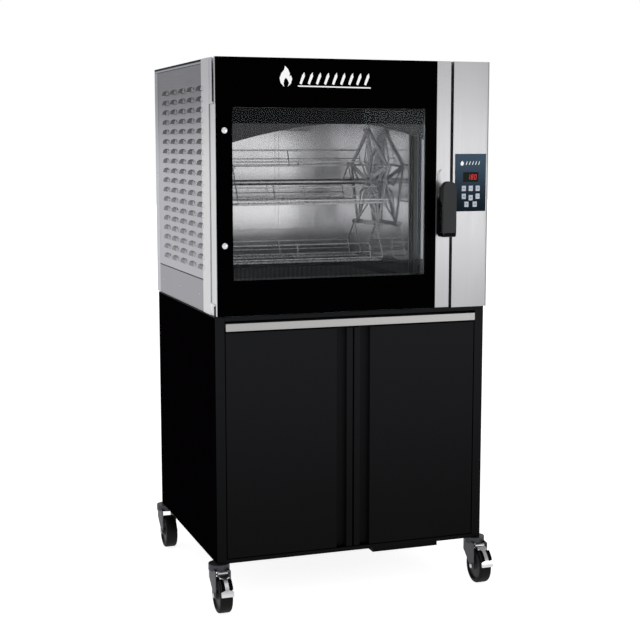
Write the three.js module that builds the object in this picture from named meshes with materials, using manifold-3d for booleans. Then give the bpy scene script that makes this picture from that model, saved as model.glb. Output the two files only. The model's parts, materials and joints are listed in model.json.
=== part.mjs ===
// A floor-standing rotisserie oven: a stainless oven body with a glass door and a five-basket
// rotor, on a black cabinet stand with castors. Millimetres, +Z up, the front faces -Y.
import * as THREE from 'three';
import { mergeVertices } from 'three/addons/utils/BufferGeometryUtils.js';
import Module from 'manifold-3d';

const wasm = await Module();
wasm.setup();

// ---------------------------------------------------------------- driving sizes
const GAP = 0.3; // between pieces that touch or are fastened together
const SHEET = 2; // sheet metal

const OVEN = { width: 1000, height: 863, depth: 901 };
const STAND = { narrower: 2, height: 857, shorter: 49, shift: -8, setback: 7 }; // against the oven above it

const DOOR = { width: 850, thickness: 66, gapBelow: 2, gapAbove: 0.5, glass: 5, innerGlass: 4, seat: 15 };
const STILE_WIDTH = 53; // stainless strip at the door's free edge
const COLUMN = { gap: 11, corner: 8 }; // control column, right of the door
const BODY_FRONT = 76; // the oven body starts this far behind the door's face
const POST = { depth: 96, proud: 3, flange: 14, lap: 30 };

const CAVITY = { left: 55, right: 125, top: 150, bottom: 98 }; // right: from the door's free edge
const WINDOW = { left: 57, right: 96, top: 165, bottom: 122 }; // margins of the door's window
const HINGE = {
  inset: 12, back: 40, pin: 5, pinReach: 24, top: 154, bottom: 42, ear: 6, notch: 38, slot: 18, reach: 14,
  knuckle: 22, knuckleHalf: 12, shelf: 3, clear: 1.2,
};

const ROTOR = {
  drop: 424, clearFront: 38.7, clearBack: 23, arms: 5, pinCircle: 190, pin: 5, pinLength: 20,
  shaft: 10, slack: 0.6, bush: 16,
};
const STAR = { thickness: 5, rim: 12, spoke: 10, hub: 32, fromLeft: 43, fromRight: 30 };
const BASKET = { rim: 55, depth: 135, top: 150, bottom: 105, wall: 2.5, hanger: 3, inset: 8, eye: 12 };

const LOUVRE = {
  rows: 18, columns: 5, length: 62, height: 14, first: 191, pitchY: 129, drop: 97, pitchZ: 35.9,
};
const PANEL = { width: 118, height: 202, thickness: 3, fromRight: 12, drop: 320, seat: 8 };
const DISPLAY = { width: 59, height: 34, drop: 64, recess: 1.2 };
const KEY = {
  width: 16, height: 19, proud: 2.2, depth: 8.5, clearance: 0.4, pitchX: 27, pitchZ: 28, drop: 121,
  centreDrop: 5,
  lastRow: 0.6, // the last row's keys, in pitches either side of the middle
};

const LATCH = { width: 36, height: 123, depth: 43.4, drop: 478, inset: 3, neckDrop: 434, neckInset: 7 };
const LEVER = {
  width: 50, height: 193, depth: 28, drop: 414, pivotDrop: 36, pivot: 5, slack: 0.6, corner: 14,
};

const STILES = 33.5; // width of the stand's front stiles
const TOP_RAIL = 13;
const BOTTOM_RAIL = 12;
const SHELF = {
  lip: 26, gapAbove: 8, gapBelow: 6, gapSide: 2.5, depth: 520, flange: 14, flangeSet: 6, proud: 7,
};
const STAND_DOOR = { gap: 3.2, gapBelow: 3, meeting: 6, lip: 22, grip: 37, gripDepth: 22, edge: 20 };
const FLOOR_WELL = { left: 584, width: 253, front: 40, depth: 240, drop: 28 };

const WHEEL = { radius: 62.5, width: 44, bore: 5.3, hub: 14, dish: 5, rim: 13, corner: 4 };
const CASTOR = {
  inset: 11.5, insetY: 22, trail: 42, rise: 38, head: 37, headHeight: 22, leg: 3, legGap: 2.5, boss: 3,
  stem: 6, stemTop: 4,
};
const FORK = { low: 11, toeFront: 14, toeBack: 8, shoulder: 12, shoulderDrop: 16, topDrop: 4, heel: 44 };
const PEDAL = {
  clear: 7.5, strap: 6, width: 36, foot: 44, pinRise: 11, pinAhead: 2, eye: 7, pin: 3,
  strapFrom: 93, strapTo: 168, footFrom: 158, footTo: 170, // degrees round the wheel, from the back
};

const FAN = {
  radius: 120, depth: 32, blades: 12, bladeStart: 0.55, bladeHalf: 0.8, hub: 18, hubSet: 4, shaft: 6,
  tail: 40, clear: 6,
};
const FAN_COVER = { side: 380, depth: 50, slots: 9, slotHalf: 6, margin: 10 };
const TRAY = { margin: 15, height: 13, front: 17, back: 60 }; // drip tray, from the cavity's walls
const SEAL = { offset: 2, width: 14 };
const MOTOR = { gap: 8, box: 90, boxLength: 80, radius: 40, length: 120 };
const VENTS = { slots: 8, inset: 0.27, halfLength: 110, half: 5, drop: 60, pitch: 24 }; // in the back panel
const INLET = {
  radius: 16, neck: 12, nose: 11, bore: 7, length: 25, shoulder: 0.55, inside: 10, fromRight: 120, rise: 70,
};
const RUNNER = { width: 26, depth: 520, front: 30, thickness: 3 };
const THROUGH = 1; // how far a cutting shape stands out, and joined shapes reach into each other

// ---------------------------------------------------------------- levels and edges worked out
const standBottom = 2 * WHEEL.radius + CASTOR.rise;
const standWidth = OVEN.width - STAND.narrower;
const standTop = standBottom + STAND.height;
const standLeft = STAND.shift - standWidth / 2;
const standRight = STAND.shift + standWidth / 2;
const standFront = STAND.setback;
const standBack = standFront + OVEN.depth - STAND.shorter;

const ovenBottom = standTop + GAP;
const ovenTop = ovenBottom + OVEN.height;
const ovenLeft = -OVEN.width / 2;
const ovenRight = OVEN.width / 2;
const ovenBack = OVEN.depth;

const doorRight = ovenLeft + DOOR.width;
const doorBottom = ovenBottom + DOOR.gapBelow;
const doorTop = ovenTop - DOOR.gapAbove;
const columnLeft = doorRight + COLUMN.gap;

const cavityFront = BODY_FRONT + SHEET + GAP;
const rotorReach = ROTOR.pinCircle + BASKET.top / 2;
const rotorY = cavityFront + ROTOR.clearFront + rotorReach;
const cavity = {
  x0: ovenLeft + CAVITY.left,
  x1: doorRight - CAVITY.right,
  y0: cavityFront,
  y1: rotorY + rotorReach + ROTOR.clearBack + FAN_COVER.depth,
  z0: ovenBottom + CAVITY.bottom,
  z1: ovenTop - CAVITY.top,
};

// ---------------------------------------------------------------- shapes
const block = ([x0, x1], [y0, y1], [z0, z1]) =>
  new THREE.BoxGeometry(x1 - x0, y1 - y0, z1 - z0)
    .translate((x0 + x1) / 2, (y0 + y1) / 2, (z0 + z1) / 2);

function outline(points, holes = []) {
  const shape = new THREE.Shape(points.map(([u, v]) => new THREE.Vector2(u, v)));
  for (const hole of holes) {
    shape.holes.push(new THREE.Path(hole.map(([u, v]) => new THREE.Vector2(u, v))));
  }
  return shape;
}

const rectangle = (u0, u1, v0, v1) => [[u0, v0], [u1, v0], [u1, v1], [u0, v1]];

function arc(cu, cv, radius, from, to, steps) {
  const points = [];
  for (let i = 0; i <= steps; i++) {
    const angle = THREE.MathUtils.degToRad(from + ((to - from) * i) / steps);
    points.push([cu + radius * Math.cos(angle), cv + radius * Math.sin(angle)]);
  }
  return points;
}

// An outline extruded along an axis from a to b: (y, z) along x, (x, z) along y, (x, y) along z.
function prism(axis, shape, a, b) {
  const geometry = new THREE.ExtrudeGeometry(shape, { depth: b - a, bevelEnabled: false });
  if (axis === 'x') {
    geometry.applyMatrix4(new THREE.Matrix4().set(0, 0, 1, a, 1, 0, 0, 0, 0, 1, 0, 0, 0, 0, 0, 1));
  } else if (axis === 'y') {
    geometry.applyMatrix4(new THREE.Matrix4().set(1, 0, 0, 0, 0, 0, -1, b, 0, 1, 0, 0, 0, 0, 0, 1));
  } else {
    geometry.translate(0, 0, a);
  }
  return geometry;
}

// A round bar along an axis through (p, q), the other two coordinates in x, y, z order.
function bar(axis, radius, [p, q], a, b, sides = 20) {
  return prism(axis, outline(arc(p, q, radius, 0, 360 - 360 / sides, sides - 1)), a, b);
}

// A ring turned about the axis: profile points are [radius, position along the axis].
function turned(axis, profile, sides) {
  const points = [...profile, profile[0]].map(([r, t]) => new THREE.Vector2(r, t));
  const geometry = new THREE.LatheGeometry(points, sides);
  if (axis === 'x') geometry.rotateZ(-Math.PI / 2);
  if (axis === 'z') geometry.rotateX(Math.PI / 2);
  return geometry;
}

function toSolid(geometry) {
  const bare = geometry.clone();
  bare.deleteAttribute('normal');
  bare.deleteAttribute('uv');
  const merged = mergeVertices(bare, 1e-4);
  const vertProperties = new Float32Array(merged.attributes.position.array);
  const triVerts = new Uint32Array(merged.index.array);
  return new wasm.Manifold(new wasm.Mesh({ numProp: 3, vertProperties, triVerts }));
}

function toGeometry(solid) {
  const mesh = solid.getMesh();
  const geometry = new THREE.BufferGeometry();
  geometry.setAttribute('position', new THREE.BufferAttribute(new Float32Array(mesh.vertProperties), 3));
  geometry.setIndex([...mesh.triVerts]);
  return geometry;
}

const join = (first, ...others) =>
  toGeometry(others.reduce((sum, next) => sum.add(toSolid(next)), toSolid(first)));
const cut = (first, ...others) =>
  toGeometry(others.reduce((rest, next) => rest.subtract(toSolid(next)), toSolid(first)));

// ---------------------------------------------------------------- materials
const finish = (color, roughness, metalness, extra = {}) =>
  new THREE.MeshStandardMaterial({ color, roughness, metalness, ...extra });
const steel = () => finish(0xb9babd, 0.35, 1.0);
const brightSteel = () => finish(0xd4d5d8, 0.18, 1.0);
const linerSteel = () => finish(0x8e8f92, 0.3, 1.0);
const wireChrome = () => finish(0xcfd1d4, 0.15, 1.0);
const blackSteel = () => finish(0x1b1c1e, 0.45, 0.2);
const blackGlass = () => finish(0x020203, 0.04, 0.0, { transparent: true, opacity: 0.9 });
const clearGlass = () => finish(0xdfe6e4, 0.03, 0.0, { transparent: true, opacity: 0.25 });
const charcoal = () => finish(0x333436, 0.55, 0.0);
const navy = () => finish(0x1d3040, 0.4, 0.0);
const keyGrey = () => finish(0xb9bec6, 0.5, 0.0);
const rubber = () => finish(0x1c1c1d, 0.8, 0.0);
const forkGrey = () => finish(0x3a3b40, 0.5, 0.1);
const tyreBlack = () => finish(0x161617, 0.75, 0.0);
const motorGrey = () => finish(0x55585c, 0.5, 0.6);

const model = new THREE.Group();

function place(name, geometry, material, parent = model, position = [0, 0, 0]) {
  const mesh = new THREE.Mesh(geometry, material);
  mesh.name = name;
  mesh.position.set(...position);
  parent.add(mesh);
  return mesh;
}

function groupAt(position, parent = model) {
  const group = new THREE.Group();
  group.position.set(...position);
  parent.add(group);
  return group;
}

// ---------------------------------------------------------------- oven casing
const casingBack = ovenBack - SHEET - GAP;

function sidePanel(name, x, front) {
  const louvres = [];
  for (let column = 0; column < LOUVRE.columns; column++) {
    const y = LOUVRE.first + column * LOUVRE.pitchY;
    for (let row = 0; row < LOUVRE.rows; row++) {
      const z = ovenTop - LOUVRE.drop - row * LOUVRE.pitchZ;
      louvres.push(block([x - THROUGH, x + SHEET + THROUGH], [y - LOUVRE.length / 2, y + LOUVRE.length / 2],
        [z - LOUVRE.height / 2, z + LOUVRE.height / 2]));
    }
  }
  place(name, cut(block([x, x + SHEET], [front, casingBack], [ovenBottom, ovenTop]), ...louvres), steel());
}

function postWithHinges() {
  const x = ovenLeft - POST.proud;
  const back = BODY_FRONT + POST.depth;
  const section = [
    [x, BODY_FRONT], [x + POST.flange, BODY_FRONT], [x + POST.flange, BODY_FRONT + SHEET],
    [x + SHEET, BODY_FRONT + SHEET], [x + SHEET, back], [x, back],
  ];
  const post = prism('z', outline(section), ovenBottom, ovenTop);
  const pinX = ovenLeft + HINGE.inset;
  const earX = [ovenLeft, pinX + HINGE.reach];
  const earY = [HINGE.back - HINGE.reach, BODY_FRONT - GAP];
  const cheekX = [ovenLeft, ovenLeft + SHEET];
  const topEar = ovenTop - HINGE.top + HINGE.clear;
  const bottomEar = ovenBottom + HINGE.bottom - HINGE.clear - HINGE.ear;
  return join(
    post,
    block(earX, earY, [topEar, topEar + HINGE.ear]),
    block(cheekX, [HINGE.back + HINGE.pin, BODY_FRONT + SHEET], [topEar, ovenTop]),
    bar('z', HINGE.pin, [pinX, HINGE.back], topEar - HINGE.pinReach, topEar + HINGE.ear),
    block(earX, earY, [bottomEar, bottomEar + HINGE.ear]),
    block(cheekX, [HINGE.back + HINGE.pin, BODY_FRONT + SHEET], [ovenBottom, bottomEar + HINGE.ear]),
    bar('z', HINGE.pin, [pinX, HINGE.back], bottomEar, bottomEar + HINGE.ear + HINGE.pinReach),
  );
}

function controlColumn() {
  const x0 = columnLeft;
  const x1 = ovenRight;
  const back = BODY_FRONT + POST.depth;
  const r = COLUMN.corner;
  const leftBack = BODY_FRONT - GAP;
  const section = [
    [x0, 0], ...arc(x1 - r, r, r, -90, 0, 5), [x1, back],
    [x1 - SHEET, back], ...arc(x1 - r, r, r - SHEET, 0, -90, 5),
    [x0 + SHEET, SHEET], [x0 + SHEET, leftBack], [x0, leftBack],
  ];
  const endCap = [x0 + THROUGH, x1 - r];
  const endCorner = [x1 - r - THROUGH, x1 - THROUGH];
  const depth = [THROUGH, leftBack];
  const cornerDepth = [r / 2, leftBack];
  const window = block(
    [panelX0 + PANEL.seat, panelX0 + PANEL.width - PANEL.seat], [-THROUGH, SHEET + THROUGH],
    [panelZ1 - PANEL.height + PANEL.seat, panelZ1 - PANEL.seat]);
  const z0 = ovenBottom + GAP;
  const z1 = ovenTop - GAP;
  return cut(join(
    prism('z', outline(section), z0, z1),
    block(endCap, depth, [z0, z0 + SHEET]),
    block(endCap, depth, [z1 - SHEET, z1]),
    block(endCorner, cornerDepth, [z0, z0 + SHEET]),
    block(endCorner, cornerDepth, [z1 - SHEET, z1]),
  ), window);
}

const panelX0 = ovenRight - PANEL.fromRight - PANEL.width;
const panelZ1 = ovenTop - PANEL.drop;
const postBack = BODY_FRONT + POST.depth;
const leftPanelX = ovenLeft - POST.proud + SHEET + GAP;

sidePanel('side_panel_left', leftPanelX, postBack + GAP - POST.lap);
sidePanel('side_panel_right', ovenRight - SHEET, postBack + GAP);
const betweenSides = [leftPanelX + SHEET + GAP, ovenRight - SHEET - GAP];
const behindFront = [BODY_FRONT + SHEET + GAP, casingBack];
place('roof_panel', block(betweenSides, behindFront, [ovenTop - SHEET, ovenTop]), steel());
place('base_panel', block(betweenSides, behindFront, [ovenBottom, ovenBottom + SHEET]), steel());
place('front_post', postWithHinges(), steel());
place('control_column', controlColumn(), steel());

// Back panel with two blocks of vent slots and the hole of the cable inlet.
const inletX = ovenRight - INLET.fromRight;
const inletZ = ovenBottom + INLET.rise;
{
  const sheetY = [ovenBack - SHEET - THROUGH, ovenBack + THROUGH];
  const holes = [bar('y', INLET.neck, [inletX, inletZ], ...sheetY, 24)];
  for (const centre of [ovenLeft + OVEN.width * VENTS.inset, ovenRight - OVEN.width * VENTS.inset]) {
    for (let i = 0; i < VENTS.slots; i++) {
      const z = ovenTop - CAVITY.top - VENTS.drop - i * VENTS.pitch;
      holes.push(block([centre - VENTS.halfLength, centre + VENTS.halfLength], sheetY,
        [z - VENTS.half, z + VENTS.half]));
    }
  }
  const sheet = block([leftPanelX, ovenRight], [ovenBack - SHEET, ovenBack], [ovenBottom, ovenTop]);
  place('back_panel', cut(sheet, ...holes), steel());
}
place('cable_inlet', turned('y', [
  [INLET.bore, -INLET.inside], [INLET.neck - GAP, -INLET.inside], [INLET.neck - GAP, GAP],
  [INLET.radius, GAP], [INLET.radius, INLET.length * INLET.shoulder], [INLET.nose, INLET.length],
  [INLET.bore, INLET.length],
], 24), rubber(), model, [inletX, ovenBack, inletZ]);

// ---------------------------------------------------------------- cavity
const mouth = rectangle(cavity.x0, cavity.x1, cavity.z0, cavity.z1);
const frameX0 = ovenLeft - POST.proud + POST.flange + GAP;
place('front_frame', prism('y', outline(
  rectangle(frameX0, columnLeft - GAP, ovenBottom + GAP, ovenTop - GAP), [mouth]),
BODY_FRONT, BODY_FRONT + SHEET), steel());

const sealOutline = (extra) =>
  rectangle(cavity.x0 - extra, cavity.x1 + extra, cavity.z0 - extra, cavity.z1 + extra);
place('door_seal', prism('y', outline(sealOutline(SEAL.offset + SEAL.width), [sealOutline(SEAL.offset)]),
  DOOR.thickness + GAP, BODY_FRONT - GAP), rubber());

const rotorZ = ovenTop - ROTOR.drop;
const linerY = [cavity.y0, cavity.y1 - GAP];
place('cavity_side_left', cut(
  join(
    block([cavity.x0 - SHEET, cavity.x0], linerY, [cavity.z0 - SHEET, cavity.z1 + SHEET]),
    bar('x', ROTOR.shaft * 2.2, [rotorY, rotorZ], cavity.x0 - ROTOR.bush, cavity.x0),
  ),
  bar('x', ROTOR.shaft + ROTOR.slack, [rotorY, rotorZ], cavity.x0 - ROTOR.bush - THROUGH,
    cavity.x0 + THROUGH, 24),
), linerSteel());
place('cavity_side_right', prism('x', outline(
  rectangle(...linerY, cavity.z0 - SHEET, cavity.z1 + SHEET),
  [arc(rotorY, rotorZ, ROTOR.shaft + SHEET, 0, 345, 23)]), cavity.x1, cavity.x1 + SHEET), linerSteel());
place('cavity_roof',
  block([cavity.x0 + GAP, cavity.x1 - GAP], linerY, [cavity.z1, cavity.z1 + SHEET]), linerSteel());
place('cavity_floor',
  block([cavity.x0 + GAP, cavity.x1 - GAP], linerY, [cavity.z0 - SHEET, cavity.z0]), linerSteel());

const cavityX = (cavity.x0 + cavity.x1) / 2;
place('cavity_back', prism('y', outline(
  rectangle(cavity.x0 - SHEET, cavity.x1 + SHEET, cavity.z0 - SHEET, cavity.z1 + SHEET),
  [arc(cavityX, rotorZ, FAN.shaft + FAN.bladeHalf, 0, 345, 23)],
), cavity.y1, cavity.y1 + SHEET), linerSteel());

{
  const x = [cavity.x0 + TRAY.margin, cavity.x1 - TRAY.margin];
  const y = [cavity.y0 + TRAY.front, cavity.y1 - TRAY.back];
  const z = [cavity.z0 + GAP, cavity.z0 + GAP + TRAY.height];
  place('drip_tray', cut(block(x, y, z), block(
    [x[0] + SHEET, x[1] - SHEET], [y[0] + SHEET, y[1] - SHEET],
    [z[0] + SHEET, z[1] + THROUGH])), brightSteel());
}

// Convection fan and the cover in front of it, with slots in its four edges.
const coverFront = cavity.y1 - GAP - FAN_COVER.depth;
const motorFace = cavity.x1 + SHEET + MOTOR.gap;
{
  const half = FAN_COVER.side / 2;
  const x = [cavityX - half, cavityX + half];
  const z = [rotorZ - half, rotorZ + half];
  const slots = [];
  const pitch = FAN_COVER.side / (FAN_COVER.slots + 1);
  const slotY = [coverFront + FAN_COVER.margin, cavity.y1 - GAP - FAN_COVER.margin];
  for (let i = 1; i <= FAN_COVER.slots; i++) {
    const across = [x[0] + i * pitch - FAN_COVER.slotHalf, x[0] + i * pitch + FAN_COVER.slotHalf];
    const level = [z[0] + i * pitch - FAN_COVER.slotHalf, z[0] + i * pitch + FAN_COVER.slotHalf];
    slots.push(block([x[0] - THROUGH, x[0] + SHEET + THROUGH], slotY, level));
    slots.push(block([x[1] - SHEET - THROUGH, x[1] + THROUGH], slotY, level));
    slots.push(block(across, slotY, [z[0] - THROUGH, z[0] + SHEET + THROUGH]));
    slots.push(block(across, slotY, [z[1] - SHEET - THROUGH, z[1] + THROUGH]));
  }
  place('fan_cover', cut(
    block(x, [coverFront, cavity.y1 - GAP], z),
    block([x[0] + SHEET, x[1] - SHEET], [coverFront + SHEET, cavity.y1 + THROUGH],
      [z[0] + SHEET, z[1] - SHEET]),
    ...slots), linerSteel());
}
{
  const fan = groupAt([cavityX, 0, rotorZ]);
  const front = coverFront + SHEET + FAN.clear;
  const back = front + FAN.depth;
  const blades = [];
  for (let i = 0; i < FAN.blades; i++) {
    const blade = block([FAN.radius * FAN.bladeStart, FAN.radius - SHEET], [front, back - THROUGH],
      [-FAN.bladeHalf, FAN.bladeHalf]);
    blade.rotateY((i * 2 * Math.PI) / FAN.blades);
    blades.push(blade);
  }
  place('fan', join(
    bar('y', FAN.radius, [0, 0], back - SHEET, back, 28),
    bar('y', FAN.hub, [0, 0], front + FAN.hubSet, back - THROUGH),
    bar('y', FAN.shaft, [0, 0], back - THROUGH, cavity.y1 + FAN.tail),
    ...blades), brightSteel(), fan);
}

{
  const x0 = motorFace;
  const half = MOTOR.box / 2;
  place('gear_motor', cut(
    join(
      block([x0, x0 + MOTOR.boxLength], [rotorY - half, rotorY + half], [rotorZ - half, rotorZ + half]),
      bar('x', MOTOR.radius, [rotorY, rotorZ], x0 + MOTOR.boxLength - THROUGH,
        x0 + MOTOR.boxLength + MOTOR.length, 24),
    ),
    bar('x', ROTOR.shaft + ROTOR.slack, [rotorY, rotorZ], x0 - THROUGH, x0 + MOTOR.boxLength / 2, 24),
  ), motorGrey());
}

// ---------------------------------------------------------------- rotor and its baskets
{
  const rotor = groupAt([0, rotorY, rotorZ]);
  const shaftX = [cavity.x0 - ROTOR.bush + SHEET, motorFace + MOTOR.boxLength / 2 - SHEET];
  place('rotor_shaft', bar('x', ROTOR.shaft, [0, 0], ...shaftX, 24), brightSteel(), rotor);

  const corner = (k, radius) => {
    const angle = Math.PI / 2 + (k * 2 * Math.PI) / ROTOR.arms;
    return [radius * Math.cos(angle), radius * Math.sin(angle)];
  };
  const rimOutside = ROTOR.pinCircle + STAR.rim;
  const halfArm = Math.PI / ROTOR.arms;
  const inradius = rimOutside * Math.cos(halfArm) - STAR.rim;
  const star = (x, pinsFrom, pinsTo) => {
    const tips = [];
    for (let k = 0; k < ROTOR.arms; k++) tips.push(corner(k, rimOutside));
    const plate = prism('x', outline(tips), x, x + STAR.thickness);
    const eyes = [];
    const windows = [];
    for (let k = 0; k < ROTOR.arms; k++) {
      eyes.push(bar('x', STAR.rim, corner(k, ROTOR.pinCircle), x, x + STAR.thickness, 14));
      const middle = Math.PI / 2 + (2 * k + 1) * halfArm;
      const rimHalf = inradius * Math.tan(halfArm) - STAR.spoke;
      const turnBy = (u, v) => [
        u * Math.cos(middle) - v * Math.sin(middle),
        u * Math.sin(middle) + v * Math.cos(middle),
      ];
      const nearHalf = STAR.hub * Math.tan(halfArm) - STAR.spoke / 2;
      windows.push(prism('x', outline([
        turnBy(STAR.hub, -nearHalf), turnBy(inradius, -rimHalf),
        turnBy(inradius, rimHalf), turnBy(STAR.hub, nearHalf),
      ]), x - THROUGH, x + STAR.thickness + THROUGH));
    }
    const cutPlate = cut(join(plate, ...eyes), ...windows,
      bar('x', ROTOR.shaft + GAP, [0, 0], x - THROUGH, x + STAR.thickness + THROUGH, 24));
    const pins = [];
    for (let k = 0; k < ROTOR.arms; k++) {
      pins.push(bar('x', ROTOR.pin, corner(k, ROTOR.pinCircle), pinsFrom, pinsTo, 12));
    }
    return join(cutPlate, ...pins);
  };
  const leftX = cavity.x0 + STAR.fromLeft;
  const rightX = cavity.x1 - STAR.fromRight - STAR.thickness;
  const leftInner = leftX + STAR.thickness;
  place('star_left', star(leftX, leftX + THROUGH, leftInner + ROTOR.pinLength), brightSteel(), rotor);
  place('star_right', star(rightX, rightX - ROTOR.pinLength, rightX + THROUGH), brightSteel(), rotor);

  const x0 = leftInner + BASKET.inset;
  const x1 = rightX - BASKET.inset;
  const { rim, depth, wall, eye } = BASKET;
  const top = BASKET.top / 2;
  const bottom = BASKET.bottom / 2;
  const trough = [
    [-top, -rim], [-bottom, -depth], [bottom, -depth], [top, -rim],
    [top - wall, -rim], [bottom - wall, -depth + wall],
    [-bottom + wall, -depth + wall], [-top + wall, -rim],
  ];
  const hanger = outline([
    ...arc(0, 0, eye, -30, 210, 10), [-top, -rim], [-bottom, -depth], [bottom, -depth], [top, -rim],
  ], [arc(0, 0, ROTOR.pin + ROTOR.slack, 0, 330, 11)]);
  const basket = join(
    prism('x', outline(trough), x0, x1),
    prism('x', hanger, x0, x0 + BASKET.hanger),
    prism('x', hanger, x1 - BASKET.hanger, x1),
  );
  for (let k = 0; k < ROTOR.arms; k++) {
    const [y, z] = corner(k, ROTOR.pinCircle);
    place(`basket_${k + 1}`, basket.clone(), wireChrome(), rotor, [0, y, z]);
  }
}

// ---------------------------------------------------------------- oven door
{
  const left = ovenLeft;
  const glassRight = doorRight - STILE_WIDTH - GAP;
  const win = {
    x0: left + WINDOW.left, x1: doorRight - WINDOW.right,
    z0: ovenBottom + WINDOW.bottom, z1: ovenTop - WINDOW.top,
  };
  const doorZ = [doorBottom, doorTop];
  place('door_glass_outer', block([left, glassRight], [0, DOOR.glass], doorZ), blackGlass());
  place('door_stile', block([doorRight - STILE_WIDTH, doorRight], [0, DOOR.glass], doorZ), steel());

  // Folded pan behind the glass: rim, back sheet with the window, and the two hinge notches.
  const front = DOOR.glass + GAP;
  const back = DOOR.thickness;
  const notchX = [left - THROUGH, left + HINGE.notch];
  const notchY = [HINGE.slot, back + THROUGH];
  const pinX = left + HINGE.inset;
  const topNotch = ovenTop - HINGE.top;
  const bottomNotch = ovenBottom + HINGE.bottom;
  const { knuckle, knuckleHalf, shelf } = HINGE;
  const shell = cut(
    block([left, doorRight], [front, back], doorZ),
    block([left + SHEET, doorRight - SHEET], [front - THROUGH, back - SHEET],
      [doorBottom + SHEET, doorTop - SHEET]),
    block([win.x0, win.x1], [back - SHEET - THROUGH, back + THROUGH], [win.z0, win.z1]),
    block(notchX, notchY, [topNotch, doorTop + THROUGH]),
    block(notchX, notchY, [doorBottom - THROUGH, bottomNotch]),
  );
  const notchLining = (z0, z1, zShelf) => join(
    block([left + HINGE.notch, left + HINGE.notch + SHEET], [front, back - THROUGH], [z0, z1]),
    block([left + THROUGH, left + HINGE.notch + SHEET], [front, HINGE.slot], [z0, z1]),
    block([left + THROUGH, left + HINGE.notch + THROUGH], [front, back - THROUGH],
      [zShelf, zShelf + shelf]),
  );
  const knuckleAt = (z0, z1) =>
    block([left + THROUGH, pinX + knuckleHalf], [HINGE.back - knuckleHalf, back - THROUGH], [z0, z1]);
  const bore = (z0, z1) => bar('z', HINGE.pin + GAP, [pinX, HINGE.back], z0, z1, 24);
  place('door_frame', cut(
    join(shell,
      notchLining(topNotch - shelf, doorTop - THROUGH, topNotch - shelf),
      notchLining(doorBottom + THROUGH, bottomNotch + shelf, bottomNotch),
      knuckleAt(topNotch - knuckle, topNotch - THROUGH),
      knuckleAt(bottomNotch + THROUGH, bottomNotch + knuckle)),
    bore(topNotch - knuckle - THROUGH, topNotch + THROUGH),
    bore(bottomNotch - THROUGH, bottomNotch + knuckle + THROUGH),
  ), steel());
  place('door_glass_inner', block(
    [win.x0 - DOOR.seat, win.x1 + DOOR.seat],
    [back - SHEET - GAP - DOOR.innerGlass, back - SHEET - GAP],
    [win.z0 - DOOR.seat, win.z1 + DOOR.seat],
  ), clearGlass());

  const baseLeft = doorRight - STILE_WIDTH + LATCH.inset;
  const baseX = [baseLeft, baseLeft + LATCH.width];
  const baseZ1 = ovenTop - LATCH.drop;
  const pivotX = (baseX[0] + baseX[1]) / 2;
  const pivotZ = ovenTop - LEVER.drop - LEVER.pivotDrop;
  const baseFront = -GAP - LATCH.depth;
  place('latch_base', cut(
    join(
      block(baseX, [baseFront, -GAP], [baseZ1 - LATCH.height, baseZ1]),
      block([baseX[0] + LATCH.neckInset, baseX[1]], [baseFront, -GAP],
        [baseZ1 - THROUGH, ovenTop - LATCH.neckDrop]),
    ),
    bar('y', LEVER.pivot + LEVER.slack, [pivotX, pivotZ],
      baseFront - THROUGH, baseFront + LATCH.depth / 2, 24),
  ), charcoal());

  const lever = groupAt([pivotX, baseFront - GAP, pivotZ]);
  const half = LEVER.width / 2;
  const topZ = LEVER.pivotDrop;
  const bottomZ = topZ - LEVER.height;
  const r = LEVER.corner;
  const grip = prism('y', outline([
    ...arc(half - r, bottomZ + r, r, -90, 0, 4), ...arc(0, topZ - half, half, 0, 180, 16),
    ...arc(-half + r, bottomZ + r, r, 180, 270, 4),
  ]), -LEVER.depth, 0);
  place('door_lever', join(grip,
    bar('y', LEVER.pivot, [0, 0], -THROUGH, LATCH.depth / 2 - SHEET)), charcoal(), lever);
}

// ---------------------------------------------------------------- control panel with its keys
{
  const back = -GAP;
  const front = back - PANEL.thickness;
  const centreX = panelX0 + PANEL.width / 2;
  const panelZ0 = panelZ1 - PANEL.height;
  const keys = [];
  for (let row = 0; row < 2; row++) {
    for (let column = -1; column <= 1; column++) {
      const low = row === 1 && column === 0 ? KEY.centreDrop : 0;
      keys.push([centreX + column * KEY.pitchX, panelZ1 - KEY.drop - row * KEY.pitchZ - low]);
    }
  }
  for (const side of [-KEY.lastRow, KEY.lastRow]) {
    keys.push([centreX + side * KEY.pitchX, panelZ1 - KEY.drop - 2 * KEY.pitchZ]);
  }
  const holeHalf = [KEY.width / 2 + KEY.clearance, KEY.height / 2 + KEY.clearance];
  const keyHoles = keys.map(([x, z]) =>
    block([x - holeHalf[0], x + holeHalf[0]], [front - THROUGH, back + THROUGH],
      [z - holeHalf[1], z + holeHalf[1]]));
  const lens = [
    [centreX - DISPLAY.width / 2, centreX + DISPLAY.width / 2],
    [panelZ1 - DISPLAY.drop - DISPLAY.height, panelZ1 - DISPLAY.drop],
  ];
  const lensSeat = block(lens[0], [front - THROUGH, front + DISPLAY.recess], lens[1]);
  const plate = block([panelX0, panelX0 + PANEL.width], [front, back], [panelZ0, panelZ1]);
  place('control_panel', cut(plate, ...keyHoles, lensSeat), navy());
  keys.forEach(([x, z], i) => {
    const key = block([-KEY.width / 2, KEY.width / 2], [0, KEY.depth], [-KEY.height / 2, KEY.height / 2]);
    place(`key_${i + 1}`, key, keyGrey(), model, [x, front - KEY.proud, z]);
  });
}

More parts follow.
